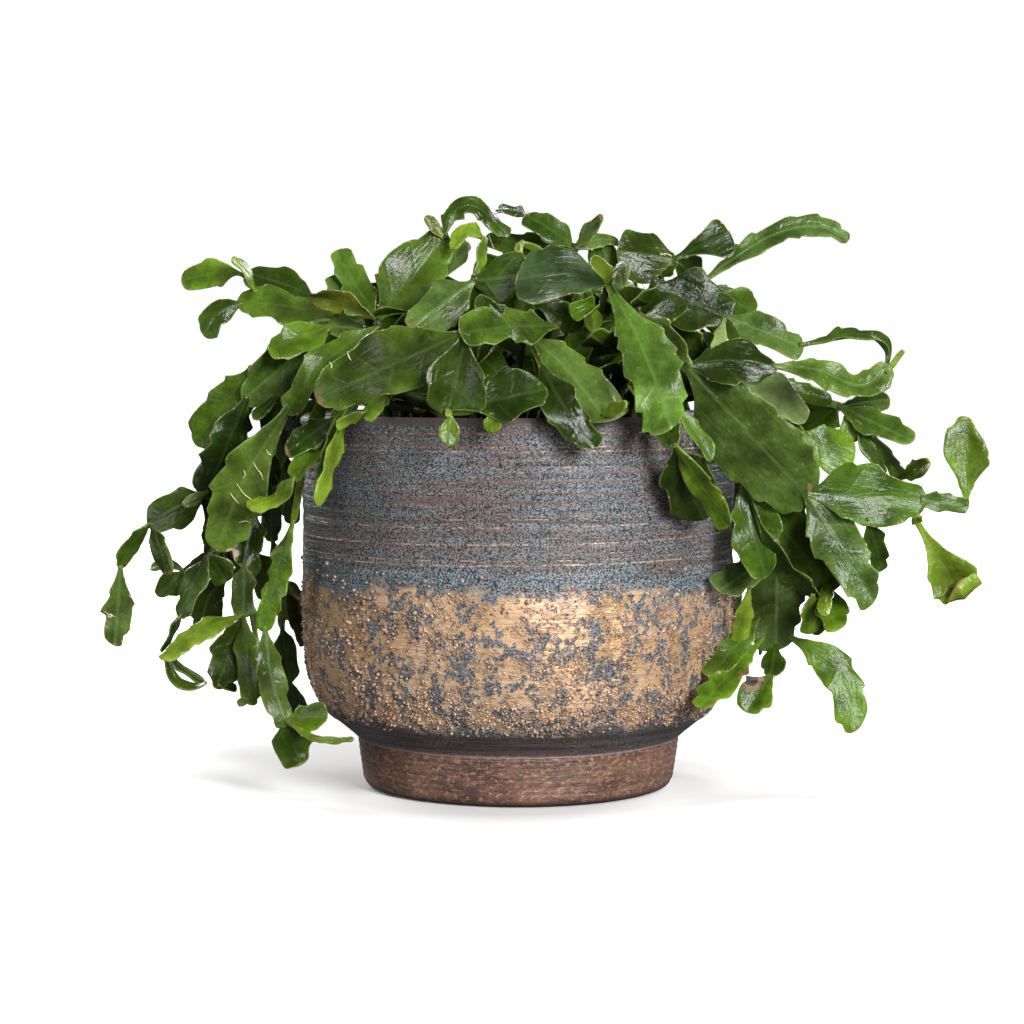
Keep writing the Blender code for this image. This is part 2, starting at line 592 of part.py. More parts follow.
def pad_mesh(laid):
    """Vertices and faces of one pad: diamonds along its midrib, thick at the rib and thin at the margins."""
    stations = ring_stations(laid["spec"])
    margins = margin_directions(laid)
    corners = []
    for station in stations:
        half = laid["halves"][station]
        rib = min(RIB_HALF, half * 0.9)
        centre, across, normal = laid["centres"][station], margins[station], laid["normals"][station]
        corners += [centre - across * half, centre + normal * rib, centre + across * half, centre - normal * rib]
    faces = [(3, 2, 1, 0)]
    for ring in range(len(stations) - 1):
        faces += tube_faces(ring * 4, 4)
    last = 4 * (len(stations) - 1)
    faces.append((last, last + 1, last + 2, last + 3))
    return corners, faces


def stem_mesh(stem):
    """Vertices and faces of a stem: a faceted tube, upright where it is rooted."""
    along = tangents(stem)
    along[0] = along[1] = np.array((0.0, 0.0, 1.0))
    across = np.array((1.0, 0.0, 0.0))
    corners = []
    for centre, tangent in zip(stem, along):
        across = unit(across - tangent * (across @ tangent))
        other = np.cross(tangent, across)
        for side in range(STEM_SIDES):
            turn = 2 * math.pi * side / STEM_SIDES
            corners.append(centre + (across * math.cos(turn) + other * math.sin(turn)) * STEM_RADIUS)
    faces = [tuple(range(STEM_SIDES - 1, -1, -1))]
    for ring in range(len(stem) - 1):
        faces += tube_faces(ring * STEM_SIDES, STEM_SIDES)
    last = STEM_SIDES * (len(stem) - 1)
    faces.append(tuple(range(last, last + STEM_SIDES)))
    return corners, faces


def material(name, colour, roughness):
    made = bpy.data.materials.new(name)
    made.use_nodes = True
    shader = made.node_tree.nodes["Principled BSDF"]
    shader.inputs["Base Color"].default_value = (*colour, 1)
    shader.inputs["Roughness"].default_value = roughness
    return made


def add_mesh(name, corners, faces, finish=None):
    """An object from vertices in millimetres."""
    mesh = bpy.data.meshes.new(name)
    mesh.from_pydata([tuple(float(value) * MM for value in corner) for corner in corners], [], faces)
    mesh.validate()
    if finish:
        mesh.materials.append(finish)
    made = bpy.data.objects.new(name, mesh)
    bpy.context.scene.collection.objects.link(made)
    return made


def combine(target, operation, tools):
    """Join or cut with other objects, keep the result in the target and remove the tools."""
    group = bpy.data.collections.new("tools")
    bpy.context.scene.collection.children.link(group)
    for tool in tools:
        bpy.context.scene.collection.objects.unlink(tool)
        group.objects.link(tool)
    step = target.modifiers.new("combine", "BOOLEAN")
    step.solver = "EXACT"
    step.operation = operation
    step.operand_type = "COLLECTION"
    step.collection = group
    graph = bpy.context.evaluated_depsgraph_get()
    result = bpy.data.meshes.new_from_object(target.evaluated_get(graph))
    target.modifiers.clear()
    target.data = result
    for tool in tools:
        bpy.data.objects.remove(tool)
    bpy.data.collections.remove(group)


def turned(name, profile, segments, finish=None):
    """A solid of revolution from a closed outline of (radius, height), whose first and last points are poles."""
    corners = [(0.0, 0.0, profile[0][1])]
    for radius, height in profile[1:-1]:
        for segment in range(segments):
            turn = 2 * math.pi * segment / segments
            corners.append((radius * math.cos(turn), radius * math.sin(turn), height))
    corners.append((0.0, 0.0, profile[-1][1]))
    faces = []
    rings = len(profile) - 2
    for segment in range(segments):
        following = (segment + 1) % segments
        faces.append((0, 1 + following, 1 + segment))
        for ring in range(rings - 1):
            first = 1 + ring * segments
            faces.append((
                first + segment, first + following,
                first + segments + following, first + segments + segment,
            ))
        last = 1 + (rings - 1) * segments
        faces.append((last + segment, last + following, len(corners) - 1))
    made = add_mesh(name, corners, faces, finish)
    made.data.shade_smooth()
    made.data.set_sharp_from_angle(angle=math.radians(35))
    return made


def make_planter():
    finish = material("glazed_stoneware", (0.16, 0.14, 0.13), 0.4)
    outline = [(0.0, 0.0), *OUTSIDE, *LIP_INSIDE, *WALL_INSIDE, (0.0, WALL_INSIDE[-1][1])]
    turned("planter_pot", outline, PLANTER_SEGMENTS, finish)


def inner_radius(height):
    """Inside of the inner pot's wall at a height."""
    rise = (height - INNER_FLOOR) / (INNER_TOP - INNER_FLOOR)
    return INNER_BASE_RADIUS + (INNER_TOP_RADIUS - INNER_BASE_RADIUS) * rise - INNER_WALL


def make_inner_pot():
    finish = material("thin_black_plastic", (0.02, 0.02, 0.02), 0.5)
    band = INNER_TOP - INNER_BAND_HEIGHT
    outline = [
        (0.0, INNER_FLOOR), (INNER_BASE_RADIUS, INNER_FLOOR),
        (inner_radius(band) + INNER_WALL, band), (INNER_BAND_RADIUS, band), (INNER_BAND_RADIUS, INNER_TOP),
        (inner_radius(INNER_TOP), INNER_TOP), (inner_radius(INNER_BED), INNER_BED), (0.0, INNER_BED),
    ]
    pot = turned("nursery_pot", outline, INNER_SEGMENTS, finish)
    holes = []
    for hole in range(DRAIN_HOLES):
        turn = 2 * math.pi * hole / DRAIN_HOLES
        place = (DRAIN_CIRCLE * math.cos(turn), DRAIN_CIRCLE * math.sin(turn))
        holes.append(upright_prism(place, DRAIN_RADIUS, INNER_FLOOR - 2, INNER_BED + 2))
    combine(pot, "DIFFERENCE", holes)


def upright_prism(place, radius, low, high):
    corners = []
    for height in (low, high):
        for side in range(STEM_SIDES):
            turn = 2 * math.pi * side / STEM_SIDES
            corners.append((place[0] + radius * math.cos(turn), place[1] + radius * math.sin(turn), height))
    faces = [tuple(range(STEM_SIDES - 1, -1, -1)), tuple(range(STEM_SIDES, 2 * STEM_SIDES))]
    for side in range(STEM_SIDES):
        following = (side + 1) % STEM_SIDES
        faces.append((side, following, STEM_SIDES + following, STEM_SIDES + side))
    return add_mesh("prism", corners, faces)


def make_soil(branches):
    finish = material("peat_soil", (0.03, 0.02, 0.015), 0.95)
    floor = INNER_BED + FIT
    outline = [
        (0.0, floor), (inner_radius(floor) - FIT, floor),
        (inner_radius(SOIL_TOP - 2) - FIT, SOIL_TOP - 2), (inner_radius(SOIL_TOP) - 6, SOIL_TOP),
        (0.0, SOIL_CROWN),
    ]
    soil = turned("soil", outline, INNER_SEGMENTS, finish)
    low = SOIL_TOP - ROOT_DEPTH - SOCKET_FLOOR_GAP
    combine(soil, "DIFFERENCE", [
        upright_prism(root, SOCKET_RADIUS, low, SOIL_CROWN + 4) for _, root, _, _ in branches
    ])


def make_branch(name, stem, pads, finish):
    branch = add_mesh(name, *stem_mesh(stem), finish)
    combine(branch, "UNION", [add_mesh("pad", *pad_mesh(laid)) for laid in pads.values()])


def make_plant(branches):
    finish = material("green_pad", (0.11, 0.24, 0.04), 0.45)
    stems = settle_stems(branches)
    laid = settle_pads(branches, stems)
    for name, _, _, _ in branches:
        make_branch(name, stems[name][0], laid[name], finish)


def main():
    for item in list(bpy.data.objects):
        bpy.data.objects.remove(item)
    branches = front_branches() + hidden_branches()
    make_planter()
    make_inner_pot()
    make_soil(branches)
    make_plant(branches)


main()
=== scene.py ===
"""Looks of the potted mistletoe cactus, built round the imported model.

The branches are laid out as the solids are, in millimetres, and then skinned as thin scalloped pads with
raised midribs. +Z is up and the front of the plant faces -Y.
"""

import json
import math

import bpy
import numpy as np
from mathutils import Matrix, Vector
from mathutils.bvhtree import BVHTree

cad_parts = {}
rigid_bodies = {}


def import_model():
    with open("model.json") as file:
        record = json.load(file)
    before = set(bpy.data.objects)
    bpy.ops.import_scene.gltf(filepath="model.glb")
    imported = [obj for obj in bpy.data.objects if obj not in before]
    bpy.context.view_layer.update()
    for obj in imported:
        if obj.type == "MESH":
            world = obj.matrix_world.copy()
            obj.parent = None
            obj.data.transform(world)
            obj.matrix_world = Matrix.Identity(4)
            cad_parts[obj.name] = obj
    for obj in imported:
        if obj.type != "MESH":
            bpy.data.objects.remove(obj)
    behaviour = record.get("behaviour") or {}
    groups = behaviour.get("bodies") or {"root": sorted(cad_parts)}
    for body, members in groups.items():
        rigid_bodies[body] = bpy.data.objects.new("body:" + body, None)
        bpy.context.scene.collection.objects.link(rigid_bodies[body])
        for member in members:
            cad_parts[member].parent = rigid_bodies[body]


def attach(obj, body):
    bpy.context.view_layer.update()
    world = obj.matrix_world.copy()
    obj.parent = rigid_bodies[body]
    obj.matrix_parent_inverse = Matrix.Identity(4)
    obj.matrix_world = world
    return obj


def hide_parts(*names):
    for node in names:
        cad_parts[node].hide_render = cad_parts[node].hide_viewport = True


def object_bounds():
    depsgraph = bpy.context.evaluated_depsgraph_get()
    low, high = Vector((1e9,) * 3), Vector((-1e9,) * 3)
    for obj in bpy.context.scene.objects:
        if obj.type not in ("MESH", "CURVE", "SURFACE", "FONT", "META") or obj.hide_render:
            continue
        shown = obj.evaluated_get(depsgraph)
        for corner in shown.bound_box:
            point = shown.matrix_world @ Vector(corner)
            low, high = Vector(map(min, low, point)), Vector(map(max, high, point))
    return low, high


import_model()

CAD_BOX = [list(corner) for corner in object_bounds()]

MM = 0.001

# Planter, radius and height in millimetres up the outside, from the foot to the lip
FOOT_OUTSIDE = [(58.0, 0.0), (62.5, 0.4), (64.6, 3.0), (65.4, 8.0), (66.3, 14.5), (67.0, 20.6)]
BELLY_OUTSIDE = [(70.2, 23.6), (75.8, 28.2), (80.3, 31.6), (84.2, 38.4), (87.0, 45.5), (89.0, 55.5)]
WALL_OUTSIDE = [(90.2, 69.0), (90.0, 94.0), (89.7, 112.0), (90.4, 128.0), (90.6, 150.0), (89.4, 154.0)]
LIP_INSIDE = [(87.0, 155.0), (84.8, 153.8), (83.8, 150.0)]
WALL_INSIDE = [(83.0, 112.0), (82.6, 60.0), (79.0, 44.0), (70.0, 30.0), (61.0, 22.0), (57.0, 10.5),
               (52.0, 8.0)]

# Inner pot
INNER_FLOOR = 8.3
INNER_BASE_RADIUS = 50.0
INNER_TOP_RADIUS = 74.0
INNER_BAND_RADIUS = 77.5
INNER_BAND_HEIGHT = 9.0
INNER_TOP = 140.0
INNER_WALL = 1.4
INNER_BED = INNER_FLOOR + INNER_WALL

# Soil and what is rooted in it
FIT = 0.35
SOIL_TOP = 131.0
SOIL_CROWN = 134.0
ROOT_DEPTH = 17.0
STEM_RADIUS = 1.8

# Pads
LEAST_HALF_WIDTH = 1.0
JOINT_INSET = 0.94
MARGIN_INSET = 0.7
STEM_INSET = 2.5
FINE_STATIONS = 13
CLEARANCE = 4.3
OWN_CLEARANCE = 2.6
STEM_CLEARANCE = 5.2
POT_CLEARANCE = 3.2
FLOOR_CLEARANCE = 2.0
SHIFTS = (0, 4, -4, 8, -8, 12, -12, 16, -16, 21, -21, 27, -27, 34, -34)
STEM_SWAYS = (0, 7, 14, 22, 30)

# The viewer of the front view, in millimetres
EYE = np.array((-2.5, -1045.0, 181.0))

# How each kind of pad widens: where it starts and stops widening, where it starts to round off,
# and its width at the base and at the tip as a share of the full width
KINDS = {
    "blade": (0.02, 0.38, 0.74, 0.16, 0.42),
    "obovate": (0.02, 0.62, 0.76, 0.13, 0.42),
    "oval": (0.0, 0.48, 0.54, 0.20, 0.30),
    "stalked": (0.30, 0.62, 0.72, 0.15, 0.38),
    "fan": (0.05, 0.90, 0.94, 0.13, 0.82),
    "strap": (0.0, 0.30, 0.70, 0.60, 0.60),
}


def unit(vector):
    return vector / np.linalg.norm(vector)


def seen(x, z, depth):
    """A point and the direction it faces, from the front view.

    Its sight line crosses the plane of the pot's axis at (x, z), and it lies `depth` nearer the viewer.
    """
    on_plane = np.array((x, 0.0, z))
    point = EYE + (on_plane - EYE) * ((-EYE[1] - depth) / -EYE[1])
    return point, unit(EYE - point)


def around(azimuth, radius, z):
    """A point and the direction it faces, by its bearing from +X round the pot's axis."""
    bearing = math.radians(azimuth)
    out = np.array((math.cos(bearing), math.sin(bearing), 0.0))
    return out * radius + np.array((0.0, 0.0, z)), unit(out + np.array((0.0, 0.0, 0.35)))


def pad(label, parent, place, width, kind="blade", at=1.0, side=0, roll=0, bow=0, arch=0, via=()):
    """One flat pad of a branch.

    It grows from its parent at a share `at` of the parent's length, on its midrib or on the margin of
    that side, and ends at `place`. `roll` turns its face up, `bow` bends it in its own plane and `arch`
    towards its face.
    """
    return {
        "label": label, "parent": parent, "place": place, "width": width, "kind": kind, "at": at,
        "side": side, "roll": roll, "bow": bow, "arch": arch, "via": via,
    }


def front_branches():
    """The branches that the front view shows: name, root in the soil, top of the stem, and pads."""
    return [
        ("left_front_branch", (-36, -22), seen(-59, 193, 50), [
            pad("a", None, seen(-97, 155, 63), 14, roll=30, bow=4),
            pad("b", "a", seen(-126, 97, 54), 25, "obovate", roll=8, bow=3, arch=3),
        ]),
        ("left_crown_branch", (-24, -14), seen(-42, 197, 38), [
            pad("a", None, seen(-60, 194, 42), 13, roll=-40),
            pad("b", "a", seen(-29, 229, 34), 24, roll=12, arch=2),
            pad("c", "b", seen(-4, 228, 24), 13, roll=40, via=(seen(-28, 237, 33), seen(-18, 240, 30))),
            pad("d", "b", seen(-38.5, 236.5, 36), 5, "oval", roll=20),
            pad("e", "a", seen(-77, 212, 32), 15, roll=25, bow=-1),
            pad("f", "a", seen(-87, 203, 46), 11, roll=-35, bow=2),
        ]),
        ("left_long_branch", (-44, 4), seen(-59, 196, 22), [
            pad("a", None, seen(-77, 195, 22), 4, "strap"),
            pad("b", "a", seen(-117, 201, 26), 19, roll=45, bow=1),
            pad("c", "b", seen(-131, 187, 30), 12, roll=20, bow=3),
            pad("d", "b", seen(-140, 210, 18), 12, "stalked", at=0.8, side=1, roll=15,
                via=(seen(-117, 213, 20),)),
            pad("e", "b", seen(-119, 219, 32), 8, at=0.82, side=1, roll=65, bow=2),
            pad("f", "a", seen(-113, 213, 8), 16, "stalked", roll=30, via=(seen(-90, 205, 12),)),
        ]),
        ("left_drape_branch", (-50, -9), seen(-63, 191, 36), [
            pad("a", None, seen(-79, 191, 34), 9, roll=30),
            pad("b", "a", seen(-115, 160, 38), 22, roll=-12),
            pad("c", "b", seen(-131, 119, 34), 18, roll=10),
            pad("d", "a", seen(-104, 181, 20), 16, roll=30),
            pad("e", "b", seen(-135, 142, 20), 20, at=0.75, side=1, roll=20),
            pad("f", "c", seen(-155, 108.5, 28), 18, roll=20),
            pad("g", "f", seen(-167, 90, 28), 8, roll=35, bow=1.5),
            pad("h", "g", seen(-169, 57, 26), 16, "obovate", roll=5),
            pad("i", "f", seen(-146, 87, 34), 9, roll=-40),
            pad("j", "c", seen(-140, 116, 40), 5, "oval", at=0.93),
            pad("k", "b", seen(-110, 152, 46), 6, at=0.7, side=-1, roll=45),
        ]),
        ("left_outer_tail", (-54, -26), seen(-92, 167, 28), [
            pad("a", None, seen(-107, 147, 24), 11, roll=20),
            pad("b", "a", seen(-122, 119, 16), 16, roll=-15),
            pad("c", "b", seen(-130, 95, 20), 10, roll=20),
            pad("d", "c", seen(-142, 69, 24), 11, roll=-30),
            pad("e", "d", seen(-149, 54, 26), 7, roll=60),
            pad("f", "e", seen(-130, 39, 32), 6, roll=50, bow=6),
            pad("g", "e", seen(-131, 41, 18), 5, roll=50, bow=1),
            pad("h", "c", seen(-140, 88, 14), 3.5, "strap"),
            pad("i", "h", seen(-154, 90, 12), 6, roll=50, bow=2),
            pad("j", "h", seen(-151, 78, 14), 11, "oval", roll=10),
        ]),
        ("left_middle_tail", (-60, 2), seen(-94, 165, 6), [
            pad("a", None, seen(-104, 142, 4), 11, roll=20),
            pad("b", "a", seen(-111, 113, 4), 14, roll=-10),
            pad("c", "b", seen(-115, 90, 12), 13, roll=15),
            pad("d", "c", seen(-115, 69, 20), 11, roll=-20),
            pad("e", "d", seen(-149, 51, 36), 10, roll=35, bow=3),
            pad("f", "d", seen(-127, 39, 16), 14, roll=10),
            pad("g", "f", seen(-118, 39, 20), 5, roll=45),
            pad("h", "d", seen(-112, 32, 30), 11, roll=-15),
            pad("i", "h", seen(-118, 33, 32), 4, "oval"),
            pad("j", "c", seen(-134, 64, 4), 17, "stalked", roll=-5, via=(seen(-128, 80, 6),)),
        ]),
        ("left_inner_tail", (-50, -36), seen(-84, 163, 50), [
            pad("a", None, seen(-90, 131, 54), 6, "strap", roll=20),
            pad("b", "a", seen(-94, 109, 50), 3, "strap"),
            pad("c", "b", seen(-107, 63, 46), 11, roll=-25),
            pad("d", "c", seen(-97, 23, 46), 12, roll=15, bow=2),
            pad("e", "d", seen(-80, 27, 52), 12, roll=20),
            pad("f", "d", seen(-69, 17.5, 56), 3.5, roll=30, bow=3.5),
            pad("g", "d", seen(-91, 6.5, 42), 16, at=0.93, roll=-8),
        ]),
        ("left_rim_branch", (-30, -44), seen(-66, 167, 62), [
            pad("a", None, seen(-77, 152, 69), 7, roll=20),
            pad("b", "a", seen(-94, 127, 68), 12, roll=-20),
            pad("c", "b", seen(-113, 115, 66), 11, roll=50, bow=-3),
            pad("d", "a", seen(-97, 138, 58), 11, roll=25),
            pad("e", "a", seen(-83, 117, 72), 9, roll=45),
            pad("f", "a", seen(-84, 116, 80), 8, at=0.5, roll=-50),
        ]),
        ("left_rim_sprig", (-18, -50), seen(-54, 163, 76), [
            pad("a", None, seen(-64, 154.5, 80), 5, roll=20),
            pad("b", "a", seen(-76, 150, 80), 6, roll=-35),
            pad("c", "a", seen(-63, 151.5, 86), 5, at=0.3, roll=30),
        ]),
        ("left_behind_branch", (-58, 15), seen(-94, 163, -18), [
            pad("a", None, seen(-103, 131, -24), 12, roll=20),
            pad("b", "a", seen(-103, 101, -20), 13, roll=-25),
            pad("c", "b", seen(-99, 84, -14), 6, roll=20),
            pad("d", "c", seen(-90, 76, -24), 6, roll=40),
            pad("e", "c", seen(-99, 64, -6), 5, roll=40),
            pad("f", "e", seen(-96, 41, -2), 11, roll=15),
            pad("g", "f", seen(-90, 23, 4), 12, roll=-15),
            pad("h", "c", seen(-90, 57, -18), 7, at=0.7, roll=30),
        ]),
        ("front_left_branch", (2, -36), seen(17, 193, 66), [
            pad("a", None, seen(-24, 188, 76), 16, roll=30, bow=1),
            pad("b", "a", seen(-84, 160, 72), 27, roll=18),
            pad("c", "a", seen(-29, 154, 97), 28, "obovate", roll=5),
            pad("d", "c", seen(12, 165, 100), 21, "obovate", roll=25),
            pad("e", "c", seen(-29, 141, 104), 8, "obovate", roll=20),
            pad("f", "c", seen(-29.5, 153.5, 106), 3, "oval"),
            pad("g", "d", seen(-10.5, 146.5, 102), 7, "oval", at=0.4, side=1),
        ]),
        ("front_centre_branch", (-4, -48), seen(3, 191, 70), [
            pad("a", None, seen(37, 151, 106), 21, roll=18, bow=-2),
            pad("b", None, seen(39, 158, 92), 13, roll=-15),
            pad("c", None, seen(32, 140, 99), 15, "stalked", roll=10, via=(seen(17, 161, 94),)),
            pad("d", "a", seen(45.5, 159, 104), 5, "oval", roll=20),
            pad("e", None, seen(2, 206, 64), 12, roll=-30),
        ]),
        ("centre_fold_branch", (-14, -22), seen(-18, 212, 52), [
            pad("a", None, seen(2, 212, 56), 23, "oval", roll=15),
            pad("b", None, seen(-45, 190, 62), 19, roll=20),
            pad("c", None, seen(-13.5, 228, 44), 6, "strap", roll=50),
            pad("d", "c", seen(-28, 223, 36), 8, roll=45, via=(seen(-21, 230, 38),)),
            pad("e", "a", seen(1, 226, 46), 4, "strap", roll=40),
            pad("f", "e", seen(10.5, 220.5, 39), 5, "strap", roll=-35),
        ]),
        ("front_right_branch", (20, -40), seen(38, 211, 66), [
            pad("a", None, seen(-1, 210, 70), 21, roll=30, bow=3),
            pad("b", None, seen(64, 148, 97), 25, "obovate", roll=10, bow=-2, arch=3),
            pad("c", None, seen(30, 219, 78), 8, "oval", roll=30, bow=2, arch=3),
            pad("d", None, seen(44, 207, 74), 11, "oval", roll=15, bow=-5),
            pad("e", "a", seen(31, 199, 60), 3.5, "strap", at=0.22, side=-1),
            pad("f", "e", seen(22, 195, 68), 13, "oval", roll=20, arch=3),
            pad("g", "e", seen(32, 188, 64), 8, "oval", roll=-20),
        ]),
        ("right_over_branch", (34, -44), seen(49, 177, 70), [
            pad("a", None, seen(54, 162, 76), 9, roll=15),
            pad("b", "a", seen(66, 141, 76), 13, roll=-15),
            pad("c", "b", seen(78, 110, 68), 20, roll=10, bow=1),
            pad("d", "b", seen(88, 107, 75), 11, roll=-35),
            pad("e", "a", seen(81, 135, 78), 8, "stalked", roll=40, via=(seen(69, 153, 76),)),
        ]),
        ("top_pair_branch", (8, -8), seen(24, 225, 30), [
            pad("a", None, seen(3, 237, 24), 13, roll=30, bow=1),
            pad("b", None, seen(35, 237, 32), 7, roll=35),
            pad("c", None, seen(42, 226, 20), 8, roll=45, bow=-2),
            pad("d", "a", seen(-9, 239, 16), 6, roll=40, bow=1),
            pad("e", None, seen(-14, 227, 14), 11, roll=30),
        ]),
        ("heart_branch", (20, -22), seen(24, 186, 34), [
            pad("a", None, seen(41, 207, 28), 20, roll=15, arch=2),
            pad("b", None, seen(8, 200, 26), 19, roll=20, arch=2),
            pad("c", None, seen(33, 166, 46), 17, roll=-10),
            pad("d", None, seen(8, 170, 40), 16, roll=15),
        ]),
        ("top_right_branch", (28, 6), seen(60, 213, 20), [
            pad("a", None, seen(65, 219, 24), 7, roll=10),
            pad("b", "a", seen(41, 222, 26), 24, "oval", roll=25),
            pad("c", "a", seen(88, 230, 22), 19, "fan", roll=20),
            pad("d", "a", seen(77, 208, 12), 16, "oval", roll=20),
            pad("e", "d", seen(137, 226, 4), 12, roll=35,
                via=(seen(90, 219, 11), seen(108, 229.5, 8), seen(125, 232, 6))),
        ]),
        ("right_dark_branch", (38, -12), seen(57, 211, 40), [
            pad("a", None, seen(88, 194, 42), 27, roll=20),
            pad("b", "a", seen(119, 182, 46), 16, roll=35),
            pad("c", "a", seen(83, 180, 54), 9, "fan", roll=-10),
            pad("d", "b", seen(153, 172, 40), 9, roll=60,
                via=(seen(134, 186.5, 45), seen(147, 187, 43), seen(154, 180, 41))),
        ]),
        ("right_middle_branch", (46, -30), seen(50, 199, 60), [
            pad("a", None, seen(71, 173, 68), 15, roll=-20),
            pad("b", "a", seen(108, 174, 64), 20, roll=30, bow=-2),
            pad("c", "b", seen(156, 173, 56), 13, roll=38, via=(seen(125, 172.5, 62), seen(142, 166, 58))),
            pad("d", "c", seen(160.5, 181, 56), 2.5, "strap"),
            pad("e", "a", seen(123, 118, 64), 30, roll=-8),
            pad("f", "e", seen(171, 118, 51), 25, roll=22),
            pad("g", "f", seen(188.5, 116, 48), 8, "strap"),
            pad("h", "g", seen(188, 153, 46), 18, "obovate", roll=5),
            pad("i", "f", seen(167, 109, 48), 5, "strap", at=0.9, side=1),
            pad("j", "i", seen(190, 71, 44), 23, "fan", roll=8),
            pad("k", "e", seen(149, 75, 56), 21, roll=12, bow=-1),
            pad("l", "f", seen(153, 89, 42), 9, at=0.5, side=1, roll=15),
        ]),
        ("right_bright_branch", (56, -14), seen(72, 184, 34), [
            pad("a", None, seen(94, 168, 40), 9, roll=20),
            pad("b", "a", seen(120, 151, 50), 18, "oval", roll=25, bow=-3),
            pad("c", "b", seen(118, 146, 46), 6, at=0.8, side=1),
            pad("d", "a", seen(131, 160, 36), 10, roll=25),
            pad("e", "a", seen(136, 157, 42), 4.5, "strap", roll=20),
            pad("f", "e", seen(165, 143, 42), 15, roll=35),
            pad("g", "e", seen(155, 161, 34), 12, roll=-45),
            pad("h", "f", seen(153, 129, 38), 9, at=0.3, side=1, roll=45),
            pad("i", "f", seen(161, 127, 44), 8, at=0.55, side=1, roll=-35),
            pad("j", "i", seen(172, 134, 42), 9, "oval", roll=20),
            pad("k", "c", seen(140, 134, 42), 18, roll=25),
            pad("l", "e", seen(120, 147, 26), 17, roll=20),
            pad("m", "f", seen(140, 142.5, 46), 9, "oval", at=0.15, side=1),
        ]),
        ("right_low_branch", (52, -36), seen(84, 164, 56), [
            pad("a", None, seen(95, 125, 70), 9, roll=40),
            pad("b", "a", seen(132, 80, 68), 25, roll=-12),
            pad("c", "a", seen(104, 86, 80), 21, roll=15, bow=1, arch=-3),
            pad("d", "b", seen(133, 63, 64), 14, roll=10),
            pad("e", "b", seen(128, 70, 72), 6, "strap"),
            pad("f", "b", seen(125, 61.5, 58), 7, roll=30),
            pad("g", "a", seen(126, 77, 58), 14, "stalked", roll=-40, via=(seen(107, 97, 62),)),
        ]),
        ("right_tail", (62, -4), seen(94, 164, 22), [
            pad("a", None, seen(104, 131, 28), 11, roll=20),
            pad("b", "a", seen(109, 98, 36), 14, roll=-15),
            pad("c", "b", seen(108, 55, 44), 20, roll=5),
            pad("d", "c", seen(106, 44, 44), 11, "oval"),
            pad("e", "c", seen(142, 21, 44), 15, at=0.86, side=-1, roll=15, bow=-9),
            pad("f", "c", seen(76, 31, 56), 14, "obovate", at=0.88, side=1, roll=25),
            pad("g", "d", seen(96, 29, 48), 14, "oval", roll=10),
            pad("h", "c", seen(84, 80, 56), 14, at=0.12, side=1, roll=15),
            pad("i", "h", seen(91, 47, 44), 8, at=0.55, side=-1, roll=20),
        ]),
    ]


def back_branch(number, azimuth, reach, drop, lean):
    """A branch that hangs over the back of the planter: three pads in a row, and two beside them."""
    rooted = math.radians(azimuth)
    root = (round(54 * math.cos(rooted)), round(54 * math.sin(rooted)))
    return ("back_branch_%02d" % number, root, around(azimuth, 60, 176), [
        pad("a", None, around(azimuth + lean, 92 + reach, 178), 18, roll=15, arch=6),
        pad("b", "a", around(azimuth - lean, 108 + reach, 140 - drop), 25, "obovate", roll=lean, arch=5),
        pad("c", "b", around(azimuth + lean, 104 + reach, 96 - drop), 21, roll=-lean, arch=3),
        pad("d", "c", around(azimuth - lean, 101 + reach, 62 - drop), 17, "obovate", roll=lean, arch=2),
        pad("e", "a", around(azimuth + 9, 112 + reach, 158 - drop), 15, at=0.9, side=-1, roll=lean),
        pad("f", "b", around(azimuth - 9, 116 + reach, 106 - drop), 14, roll=20),
    ])


def top_branch(number, azimuth, height, roll):
    """A short branch that stands up out of the pot and arches over at the back."""
    rooted = math.radians(azimuth)
    root = (round(38 * math.cos(rooted)), round(38 * math.sin(rooted)))
    return ("top_branch_%02d" % number, root, around(azimuth, 38, height - 22), [
        pad("a", None, around(azimuth + 3, 60, height), 19, roll=roll, arch=5),
        pad("b", "a", around(azimuth, 98, height - 4), 22, "obovate", roll=-roll, arch=7),
        pad("c", "a", around(azimuth + 17, 74, height + 7), 17, roll=25, arch=4),
        pad("d", "b", around(azimuth - 3, 120, height - 32), 16, roll=20, arch=4),
    ])


def crown_branch(number, azimuth, height):
    """A branch that stands up in the middle and spreads its pads out flat, over the soil."""
    rooted = math.radians(azimuth)
    root = (round(16 * math.cos(rooted)), round(16 * math.sin(rooted)))
    return ("crown_branch_%02d" % number, root, around(azimuth, 12, height - 13), [
        pad("a", None, around(azimuth, 38, height), 21, roll=15, arch=4),
        pad("b", "a", around(azimuth + 8, 72, height - 4), 23, "obovate", roll=-15, arch=5),
        pad("c", "a", around(azimuth + 34, 56, height - 20), 19, roll=20, arch=3),
        pad("d", "a", around(azimuth - 22, 50, height - 27), 17, roll=-20, arch=3),
    ])


def hidden_branches():
    """The branches that fill the middle, the sides and the back, where the front view doesn't reach."""
    back = [
        (4, 0, 8, 5), (27, 2, 0, 5), (48, 4, 18, -6), (70, -2, 6, 6), (92, 5, 26, -5),
        (114, -1, 10, 6), (136, 4, 22, -6), (158, 0, 2, 5), (180, 1, 14, -5),
    ]
    top = [(59, 187, 20), (103, 186, 25), (147, 184, 20)]
    crown = [(350, 214), (38, 206), (84, 222), (128, 210), (186, 203)]
    return (
        [back_branch(number, *row) for number, row in enumerate(back, start=1)]
        + [top_branch(number, *row) for number, row in enumerate(top, start=1)]
        + [crown_branch(number, *row) for number, row in enumerate(crown, start=1)]
    )


def smooth(value):
    value = min(1.0, max(0.0, value))
    return value * value * (3 - 2 * value)


